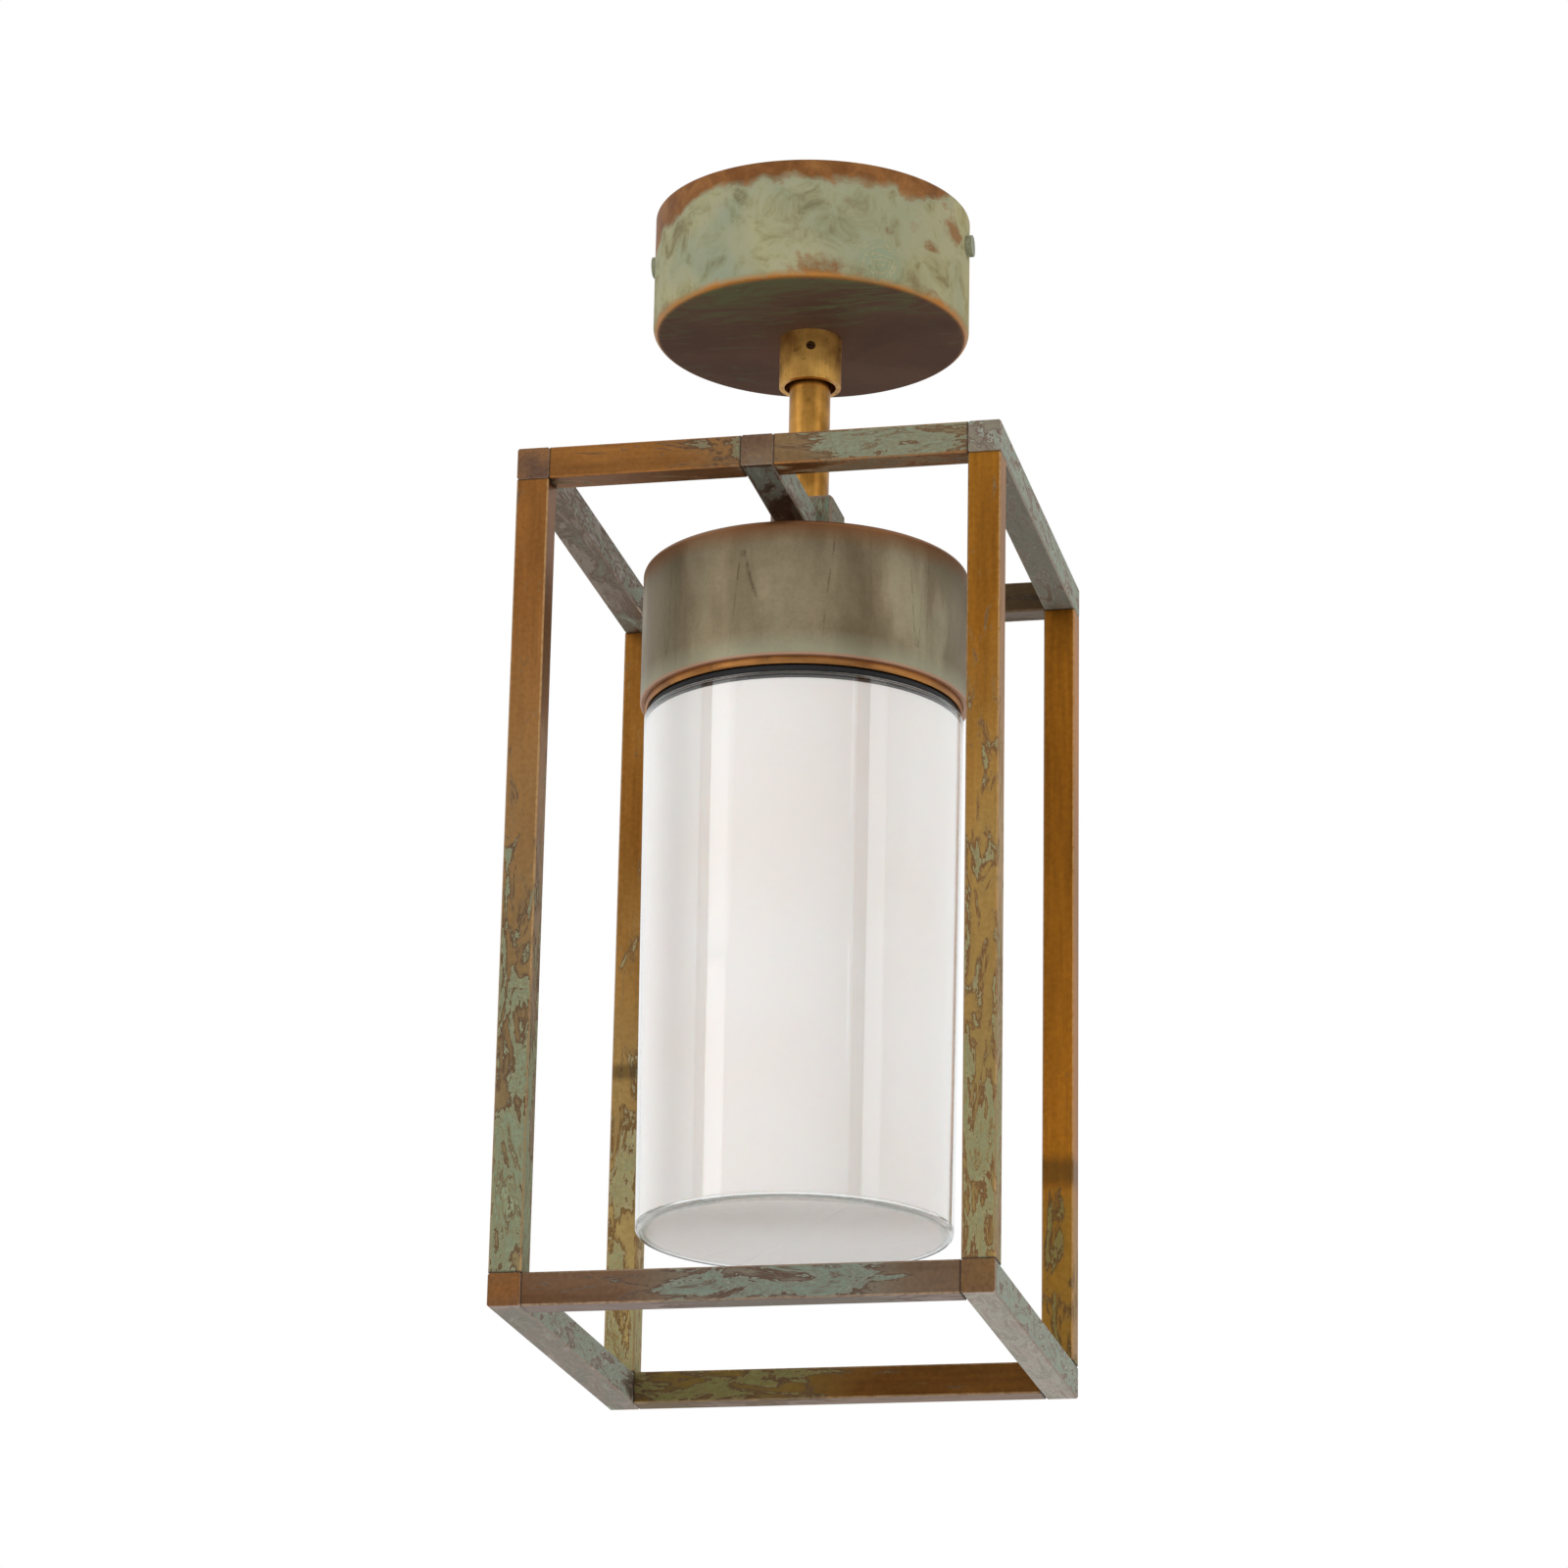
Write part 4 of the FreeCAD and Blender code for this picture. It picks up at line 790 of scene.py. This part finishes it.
# %% Spin the cup
CUP_WALL = 1.5
CUP_ROUND = 2.2
RIM_ROUND = 0.45
cup_radius, cup_foot, cup_top = extent("lamp_cup")
inner = cup_radius - CUP_WALL
bend = CUP_ROUND - CUP_WALL
cup_section = (
    [(inner, cup_foot)]
    + arc(cup_radius - RIM_ROUND, cup_foot + RIM_ROUND, RIM_ROUND, -90, 0, 4)
    + arc(cup_radius - CUP_ROUND, cup_top - CUP_ROUND, CUP_ROUND, 0, 90)
    + [(NIPPLE_HOLE, cup_top), (NIPPLE_HOLE, cup_top - CUP_WALL)]
    + arc(inner - bend, cup_top - CUP_WALL - bend, bend, 90, 0)
)
olive_finish = olive_sheet("olive sheet brass", cup_foot / 1000, cup_top / 1000)
lathe("cup_spun", "lamp_cup", cup_section, olive_finish)

# %% [markdown]
# ## Bare brass: stem, collar, ring and fittings
# The stem and its collar are drawn tube without any bath: golden, spotted and streaked by fingers
# and air. The screw ring is turned, so fine tool rings run round it. Both are metals with the
# default IOR, and what tells them apart from new brass is the uneven roughness and the brown
# spots.

# %% Raw and turned brass
def raw_brass(name, light, dark, spot, lines, roughness):
    """Unlacquered brass. lines squeezes the noise of the tool marks along X, Y and Z."""
    material, shader = new_material(name, Metallic=1.0)
    here = surroundings(material)
    place = here["place"]
    clouds = add(material, "TexNoise", {"Vector": place, "Scale": per_metre(9), "Detail": 6})
    spots = add(
        material,
        "TexNoise",
        {"Vector": place, "Scale": per_metre(3), "Detail": 5, "Roughness": 0.6},
    )
    squeezed = add(material, "VectorMath", {0: place, 1: lines}, operation="MULTIPLY")
    tooled = add(material, "TexNoise", {"Vector": squeezed, "Scale": per_metre(0.8), "Detail": 3})
    base = add(material, "ValToRGB", {"Fac": clouds}, [(0.35, dark), (0.65, light)])
    base = grained(material, base, tooled, 0.85, 1.1, 0.8)
    spotted = add(
        material, "MapRange", {"Value": spots, "From Min": 0.6, "From Max": 0.7, "To Max": 0.7}
    )
    colour = add(material, "MixRGB", {"Fac": spotted, "Color1": base, "Color2": spot})
    rough = add(
        material,
        "MapRange",
        {"Value": clouds, "To Min": roughness - 0.08, "To Max": roughness + 0.12},
    )
    bump = add(material, "Bump", {"Strength": 0.15, "Distance": 0.00005, "Height": tooled})
    connect(material, shader, {"Base Color": colour, "Roughness": rough, "Normal": bump})
    return material


raw_tube = raw_brass("raw drawn brass", "#bd8a42", "#8a6028", "#5f3f1c", (1, 1, 0.06), 0.3)
turned_copper = raw_brass(
    "turned brass ring", "#b07a44", "#8a6038", "#6a5038", (0.05, 0.05, 1), 0.34
)
fitting = raw_brass("turned brass fitting", "#cfa95c", "#b08a42", "#7a5a2a", (0.05, 0.05, 1), 0.28)
print("made", ", ".join(brass.name for brass in (raw_tube, turned_copper, fitting)))

# %% The stem and the ring
STEM_BORE = 5.1
stem_radius, stem_foot, stem_top = extent("stem_tube")
stem_outside = [(stem_radius, stem_foot), (stem_radius, stem_top)]
stem_section = [(STEM_BORE, stem_foot), *stem_outside, (STEM_BORE, stem_top)]
lathe("stem_drawn", "stem_tube", stem_section, raw_tube)
dress(
    raw_brass("raw turned collar", "#f0bd66", "#b98848", "#6a461e", (1, 1, 0.06), 0.42),
    "stem_collar",
)

NECK_COLLAR_PLAY = 0.3
RING_BEVEL = 0.45
ring_radius, ring_foot, ring_top = extent("screw_ring")
ring_bore = extent("neck_collar")[0] + NECK_COLLAR_PLAY
ring_section = [
    (ring_bore, ring_foot),
    (ring_radius - RING_BEVEL, ring_foot),
    (ring_radius, ring_foot + RING_BEVEL),
    (ring_radius, ring_top),
    (ring_bore, ring_top),
]
lathe("ring_turned", "screw_ring", ring_section, turned_copper)
dress(fitting, "upper_nipple", "lower_nipple", "cup_spacer", "terminal_sleeves", "centre_contact")

# %% [markdown]
# ## Silicone gasket
# Between ring and glass sits a black silicone washer. It is moulded, so it has a faint bloom and
# no gloss: a dark grey of high roughness, rounded where it bulges.

# %% The gasket
def moulded_silicone(name):
    """Black silicone rubber: nearly no gloss, with a fine moulded grain."""
    material, shader = new_material(name, Roughness=0.62, IOR=1.41)
    place = add(material, "TexCoord", {}).outputs["Object"]
    grain = add(material, "TexNoise", {"Vector": place, "Scale": per_metre(0.6), "Detail": 2})
    shade = add(material, "ValToRGB", {"Fac": grain}, [(0.3, "#121214"), (0.7, "#222226")])
    bump = add(material, "Bump", {"Strength": 0.2, "Distance": 0.00004, "Height": grain})
    connect(material, shader, {"Base Color": shade, "Normal": bump})
    return material


BULGE = 0.8
gasket_radius, gasket_foot, gasket_top = extent("shade_gasket")
gasket_section = (
    [(ring_bore, gasket_foot)]
    + arc(gasket_radius - BULGE, gasket_foot + BULGE, BULGE, -90, 0, 5)
    + arc(gasket_radius - BULGE, gasket_top - BULGE, BULGE, 0, 90, 5)
    + [(ring_bore, gasket_top)]
)
lathe("gasket_moulded", "shade_gasket", gasket_section, moulded_silicone("moulded silicone"))

# %% [markdown]
# ## Two glasses
# The shade is a blown clear cylinder with a white opal one inside it. The clear wall shows only
# by its mirror images of the lamps and by a greenish rim, where the eye looks along the wall:
# that tint is soda-lime glass taking a little red over a long path, so it is an absorbing volume,
# not a colour on the surface. The opal glass scatters light inside itself, so it gets some
# subsurface light, and a faint painted glow, an emission that stands for the room shining through
# it. The clear glass casts no shadow on the opal one, which is how thin glass really behaves.

# %% The glass finishes
# How rough the ground underside of the clear glass is.
GROUND = 0.25
# How strongly the milky liner glows: painted light, an emission that stands for the white room
# shining through its far wall.
PAINTED_GLOW = 0.13


def blown_clear_glass(name):
    """Clear soda-lime glass with a faint green in its depth, ground matt under its foot."""
    material, shader = new_material(
        name, Base_Color="#ffffff", Roughness=0.0, IOR=1.5, Transmission_Weight=1.0
    )
    depth = add(material, "VolumeAbsorption", {"Color": "#a8dcd0", "Density": 22.0})
    connect(material, material.node_tree.nodes["Material Output"], {"Volume": depth})
    ground = add(material, "MapRange", {"Value": surroundings(material)["under"], "To Max": GROUND})
    connect(material, shader, {"Roughness": ground})
    return material


def opal_glass(name):
    """White opal glass, satin on its foot: milky, with a slight waviness from blowing, and a faint
    painted glow.
    """
    material, shader = new_material(
        name,
        Roughness=0.35,
        IOR=1.5,
        Subsurface_Weight=0.25,
        Subsurface_Scale=0.004,
        Emission_Color="#fff4ee",
        Emission_Strength=PAINTED_GLOW,
    )
    place = add(material, "TexCoord", {}).outputs["Object"]
    milk = add(material, "TexNoise", {"Vector": place, "Scale": per_metre(60), "Detail": 2})
    grain = add(material, "TexNoise", {"Vector": place, "Scale": per_metre(1.2), "Detail": 3})
    shade = add(material, "ValToRGB", {"Fac": milk}, [(0.3, "#f5ece7"), (0.7, "#f8f5f3")])
    bump = add(material, "Bump", {"Strength": 0.04, "Distance": 0.00005, "Height": grain})
    connect(material, shader, {"Base Color": shade, "Normal": bump})
    return material


# %% Blow the two glasses
GLASS_WALL = 1.3
GLASS_FLOOR = 2.0
FOOT_ROUND = 1.8
SHOULDER_ROUND = 0.9
SHOULDER_WALL = 1.5
RIM = 0.6
OPAL_GAP = 0.5
OPAL_WALL = 2.0
TAPER = 1.6
INSIDE_ROUND = 1.2
OPAL_ROUND = 1.6
COLLAR_WALL = 1.8
glass_radius, glass_foot, glass_rim = extent("clear_glass")
foot_radius = glass_radius - TAPER
shoulder = extent("shade_gasket")[1]
neck_radius = extent("neck_collar")[0] - COLLAR_WALL
neck_inner = neck_radius - GLASS_WALL
inside_foot = foot_radius - GLASS_WALL
glass_floor = glass_foot + GLASS_FLOOR
glass_section = (
    [(0, glass_foot)]
    + arc(foot_radius - FOOT_ROUND, glass_foot + FOOT_ROUND, FOOT_ROUND, -90, 0)
    + arc(glass_radius - SHOULDER_ROUND, shoulder - SHOULDER_ROUND, SHOULDER_ROUND, 0, 90, 5)
    + [(neck_radius, shoulder)]
    + arc(neck_radius - RIM, glass_rim - RIM, RIM, 0, 90, 4)
    + [(neck_inner, glass_rim), (neck_inner, shoulder - SHOULDER_WALL)]
    + [(glass_radius - GLASS_WALL, shoulder - SHOULDER_WALL)]
    + arc(inside_foot - INSIDE_ROUND, glass_floor + INSIDE_ROUND, INSIDE_ROUND, 0, -90, 5)
    + [(0, glass_floor)]
)
clear = lathe(
    "clear_glass_blown", "clear_glass", glass_section, blown_clear_glass("blown clear glass")
)
clear.visible_shadow = False

opal_radius, opal_foot, _ = extent("opal_liner")
opal_top = shoulder - SHOULDER_WALL - OPAL_GAP
opal_foot_radius = inside_foot - OPAL_GAP
opal_section = (
    [(0, opal_foot)]
    + arc(opal_foot_radius - OPAL_ROUND, opal_foot + OPAL_ROUND, OPAL_ROUND, -90, 0)
    + arc(opal_radius - RIM, opal_top - RIM, RIM, 0, 90, 4)
    + arc(opal_foot_radius - OPAL_WALL + RIM, opal_top - RIM, RIM, 90, 180, 4)
    + [(opal_foot_radius - OPAL_WALL, opal_foot + OPAL_WALL), (0, opal_foot + OPAL_WALL)]
)
lathe("opal_liner_blown", "opal_liner", opal_section, opal_glass("blown opal glass"))

# %% [markdown]
# ## Threads
# The neck collar, the lampholder's shell and the bulb's cap are rolled threads. The solids carry
# them as plain or ringed cylinders. A real thread climbs as it turns, so the surface is a grid of
# angle and height whose radius follows one sine wave per pitch, moved on by one pitch each turn.

# %% Rolled threads
PITCH_E27 = 3.6
PITCH_NECK = 3.0
DEPTH_E27 = 0.8
DEPTH_NECK = 0.7
NECK_PLAY = 0.1
ROWS_A_PITCH = 10
THREAD_AROUND = 96
THREAD_SHARP = math.radians(50)


def on_circle(radius, share, z):
    """A point in metres, this share of a turn round a circle in millimetres."""
    angle = 2 * math.pi * share
    return radius * math.cos(angle) / 1000, radius * math.sin(angle) / 1000, z / 1000


def threaded(name, node, bore, pitch, depth, material):
    """A tube or a plug (bore 0) whose outside is a rolled thread, in millimetres."""
    crest, foot, top = extent(node)
    shape = bmesh.new()
    steps = max(2, round((top - foot) / pitch * ROWS_A_PITCH))
    rings = []
    for step in range(steps + 1):
        z = foot + (top - foot) * step / steps
        fade = max(0, min(1, (z - foot) / pitch * 2, (top - z) / pitch * 2))
        ring = []
        for turn in range(THREAD_AROUND):
            share = turn / THREAD_AROUND
            wave = 0.5 - 0.5 * math.cos(2 * math.pi * ((z - foot) / pitch - share))
            ring.append(shape.verts.new(on_circle(crest - depth * (1 - wave * fade), share, z)))
        rings.append(ring)
    if bore:
        for z in (top, foot):
            shares = [turn / THREAD_AROUND for turn in range(THREAD_AROUND)]
            rings.append([shape.verts.new(on_circle(bore, share, z)) for share in shares])
        rings.append(rings[0])
    else:
        shape.faces.new(rings[0])
        shape.faces.new(rings[-1])
    for lower, upper in zip(rings, rings[1:]):
        for turn in range(THREAD_AROUND):
            after = (turn + 1) % THREAD_AROUND
            shape.faces.new((lower[turn], lower[after], upper[after], upper[turn]))
    return stand_in(name, node, shape, material, THREAD_SHARP)


nickel, nickel_shader = new_material("nickel plated cap", Metallic=1.0)
nickel_place = add(nickel, "TexCoord", {}).outputs["Object"]
nickel_wear = add(nickel, "TexNoise", {"Vector": nickel_place, "Scale": per_metre(4), "Detail": 4})
nickel_rough = add(nickel, "MapRange", {"Value": nickel_wear, "To Min": 0.18, "To Max": 0.36})
nickel_shade = add(nickel, "ValToRGB", {"Fac": nickel_wear}, [(0.3, "#bdb8aa"), (0.7, "#d2cec4")])
connect(nickel, nickel_shader, {"Roughness": nickel_rough, "Base Color": nickel_shade})
neck_bore = neck_radius + NECK_PLAY
threaded("neck_collar_threaded", "neck_collar", neck_bore, PITCH_NECK, DEPTH_NECK, turned_copper)
threaded("bulb_cap_rolled", "bulb_screw_cap", 0, PITCH_E27, DEPTH_E27, nickel)
dress(fitting, "screw_shell")

# %% [markdown]
# ## What stays inside
# Under the rose and in the cup are plain parts: zinc-plated steel, moulded resin and nylon, PVC
# leads, and a bulb with a white diffuser. They show when the rose comes down or the glass is off.

# %% Zinc, resin, nylon, leads and bulb
def plain_finish(name, light, dark, size, rough, relief=0.1, **values):
    """A moulded or plated surface: two close shades, a grain of this size in mm, a roughness."""
    material, shader = new_material(name, **values)
    place = add(material, "TexCoord", {}).outputs["Object"]
    grain = add(material, "TexNoise", {"Vector": place, "Scale": per_metre(size), "Detail": 4})
    shade = add(material, "ValToRGB", {"Fac": grain}, [(0.32, dark), (0.68, light)])
    gloss = add(
        material, "MapRange", {"Value": grain, "To Min": rough - 0.07, "To Max": rough + 0.07}
    )
    bump = add(material, "Bump", {"Strength": relief, "Distance": 0.00005, "Height": grain})
    connect(material, shader, {"Base Color": shade, "Roughness": gloss, "Normal": bump})
    return material


zinc = plain_finish("zinc plated steel", "#c3c6ca", "#a3a7ad", 3.5, 0.34, Metallic=1.0)
dress(
    zinc,
    *("ceiling_bracket", "terminal_plate", "rose_washer", "rose_lock_nut", "cup_washer"),
    *("cup_lock_nut", "holder_bracket", "holder_screws", "earth_screw", "rose_side_nuts"),
    "terminal_clamp_screws",
)
screws = plain_finish(
    "green and brown brass screw", "#a3a486", "#868a6e", 1.2, 0.5, 0.2, Metallic=0.3
)
dress(screws, "rose_side_screws")
dress(
    plain_finish("browned steel screw", "#6a4a2c", "#3d2b1c", 1.2, 0.42, 0.2, Metallic=0.9),
    "collar_grub_screw",
)
dress(
    plain_finish("moulded nylon", "#dedacd", "#d2cdbd", 1.0, 0.45, IOR=1.53, Subsurface_Weight=0.1),
    "terminal_block",
)
dress(
    plain_finish("moulded phenolic resin", "#24211f", "#171514", 0.8, 0.32, IOR=1.6),
    "lampholder_body",
)
dress(
    plain_finish("black glass insulator", "#17171a", "#0d0d0f", 2.0, 0.12, 0.02, IOR=1.52),
    "bulb_contact",
)
dress(
    plain_finish(
        "opal polycarbonate", "#f0eee8", "#e8e5dd", 30, 0.36, 0.02, IOR=1.58, Subsurface_Weight=0.25
    ),
    "bulb_globe",
)
dress(plain_finish("brown PVC lead", "#563420", "#472a19", 2.0, 0.4, IOR=1.53), "live_lead")
dress(plain_finish("blue PVC lead", "#24499a", "#1c3c84", 2.0, 0.4, IOR=1.53), "neutral_lead")
earth, earth_shader = new_material("green and yellow PVC lead", Roughness=0.4, IOR=1.53)
earth_x = sum(corner[0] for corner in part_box("earth_lead")) / 2
earth_place = add(earth, "TexCoord", {}).outputs["Object"]
earth_side = add(earth, "SeparateXYZ", {0: earth_place}).outputs[0]
stripe = add(
    earth, "MapRange", {"Value": earth_side, "From Min": earth_x - SEAM, "From Max": earth_x + SEAM}
)
striped = add(earth, "MixRGB", {"Fac": stripe, "Color1": "#3f8a35", "Color2": "#d9c22e"})
connect(earth, earth_shader, {"Base Color": striped})
dress(earth, "earth_lead")

# %% [markdown]
# ## The studio
# The lantern hangs before plain white. To the camera and through glass the room is pure white. In
# mirror images it is darker towards the floor, and as a light source it is weaker, so that
# colours keep their depth. Tall soft boxes at the sides draw the upright bands on the glass,
# which end where a box ends, and two small ones draw the fine line and the pane beside them. A
# fill from below lights the foot of the glass.

# %% The room's light
AMBIENT = 0.6


def seen_by(material, *kinds):
    """1 for these kinds of ray and 0 for the others."""
    rays = add(material, "LightPath", {})
    seen = 0.0
    for kind in kinds:
        ray = rays.outputs[f"Is {kind} Ray"]
        seen = add(material, "Math", {0: seen, 1: ray}, operation="MAXIMUM")
    return seen


world = bpy.data.worlds.new("white room")
bpy.context.scene.world = world
world.use_nodes = True
background = world.node_tree.nodes["Background"]
seen = seen_by(world, "Camera", "Transmission")
direction = add(world, "TexCoord", {}).outputs["Generated"]
upward = add(world, "SeparateXYZ", {0: direction}).outputs[2]
mirror = {"Value": upward, "From Min": -0.9, "From Max": 0.5, "To Min": 0.55, "To Max": 0.95}
mirrored = add(world, "MapRange", mirror)
ambient = (AMBIENT, AMBIENT, AMBIENT, 1)
glossy = seen_by(world, "Glossy")
glow = add(world, "MixRGB", {"Fac": glossy, "Color1": ambient, "Color2": mirrored})
connect(
    world,
    background,
    {"Color": add(world, "MixRGB", {"Fac": seen, "Color1": glow, "Color2": "#ffffff"})},
)
print("the room lights with", AMBIENT, "of its white")

# %% Soft boxes
LAMP_DISTANCE = 1.7


def soft_box(name, turn, width, lowest, highest, brightness, tilt=0.0):
    """A lamp round from the front by this many degrees, between two heights, facing the lantern."""
    light = bpy.data.lights.new(name, "AREA")
    light.shape = "RECTANGLE"
    light.size = width
    light.size_y = highest - lowest
    light.energy = brightness * math.pi * width * light.size_y
    lamp = bpy.data.objects.new(name, light)
    angle = math.radians(turn)
    middle = (lowest + highest) / 2
    lamp.location = (LAMP_DISTANCE * math.sin(angle), -LAMP_DISTANCE * math.cos(angle), middle)
    aim = Vector((0, 0, middle + tilt)) - lamp.location
    lamp.rotation_euler = aim.to_track_quat("-Z", "Y").to_euler()
    bpy.context.scene.collection.objects.link(lamp)
    print(name, "from", lowest, "to", highest, "m")


soft_box("left soft box", -50, 0.5, -0.9, 0.235, 1.3)
soft_box("left high soft box", -52, 0.8, 0.26, 1.7, 0.9)
soft_box("right soft box", 62, 0.7, -0.6, 1.7, 0.75)
soft_box("slim strip near", 47, 0.035, 0.08, 0.26, 2.5)
soft_box("window pane", 58, 0.12, 0.07, 0.14, 2.5)
soft_box("low fill", 15, 1.2, -1.9, -1.3, 0.7, tilt=1.2)

# %% The floor
FLOOR_DEPTH = -2.4
FLOOR_SIZE = 60
# How bright the floor is where it is seen, so that it can't be told from the white room.
FLOOR_LIFT = 0.42
floor_material, floor_shader = new_material("pale floor", Base_Color="#f2f2f2", Roughness=0.9)
floor_seen = seen_by(floor_material, "Camera", "Glossy", "Transmission")
lift = add(floor_material, "Math", {0: floor_seen, 1: FLOOR_LIFT}, operation="MULTIPLY")
connect(floor_material, floor_shader, {"Emission Color": "#ffffff", "Emission Strength": lift})
bpy.ops.mesh.primitive_plane_add(size=FLOOR_SIZE, location=(0, 0, FLOOR_DEPTH))
floor = bpy.context.object
floor.name = "floor"
floor.data.materials.append(floor_material)
print("floor", FLOOR_SIZE, "m wide at", FLOOR_DEPTH, "m")

# %% [markdown]
# ## The camera
# The photograph looks up at the lantern from the front, a little to its right, with a long lens.
# Its place comes from the cage's own straight edges, which fix direction, distance and lens
# together.

# %% Set the camera
CAMERA_PLACE = Vector((0.3347, -1.5527, -0.7113))
CAMERA_AZIMUTH = 12.375
CAMERA_ELEVATION = -18.185
CAMERA_ROLL = 1.126
LENS = 123.3
SENSOR_WIDTH = 36
azimuth = math.radians(CAMERA_AZIMUTH)
elevation = math.radians(CAMERA_ELEVATION)
roll = math.radians(CAMERA_ROLL)
level = math.cos(elevation)
back = Vector((math.sin(azimuth) * level, -math.cos(azimuth) * level, math.sin(elevation)))
right = Vector((0, 0, 1)).cross(back).normalized()
up = back.cross(right)
rolled_right = right * math.cos(roll) + up * math.sin(roll)
rolled_up = up * math.cos(roll) - right * math.sin(roll)
lens = bpy.data.cameras.new("camera")
lens.lens = LENS
lens.sensor_width = SENSOR_WIDTH
camera = bpy.data.objects.new("camera", lens)
turn = Matrix((rolled_right, rolled_up, back)).transposed()
camera.matrix_world = Matrix.Translation(CAMERA_PLACE) @ turn.to_4x4()
bpy.context.scene.collection.objects.link(camera)
bpy.context.scene.camera = camera
bpy.context.scene.view_settings.view_transform = "Standard"
print("camera at", tuple(round(value, 3) for value in CAMERA_PLACE))
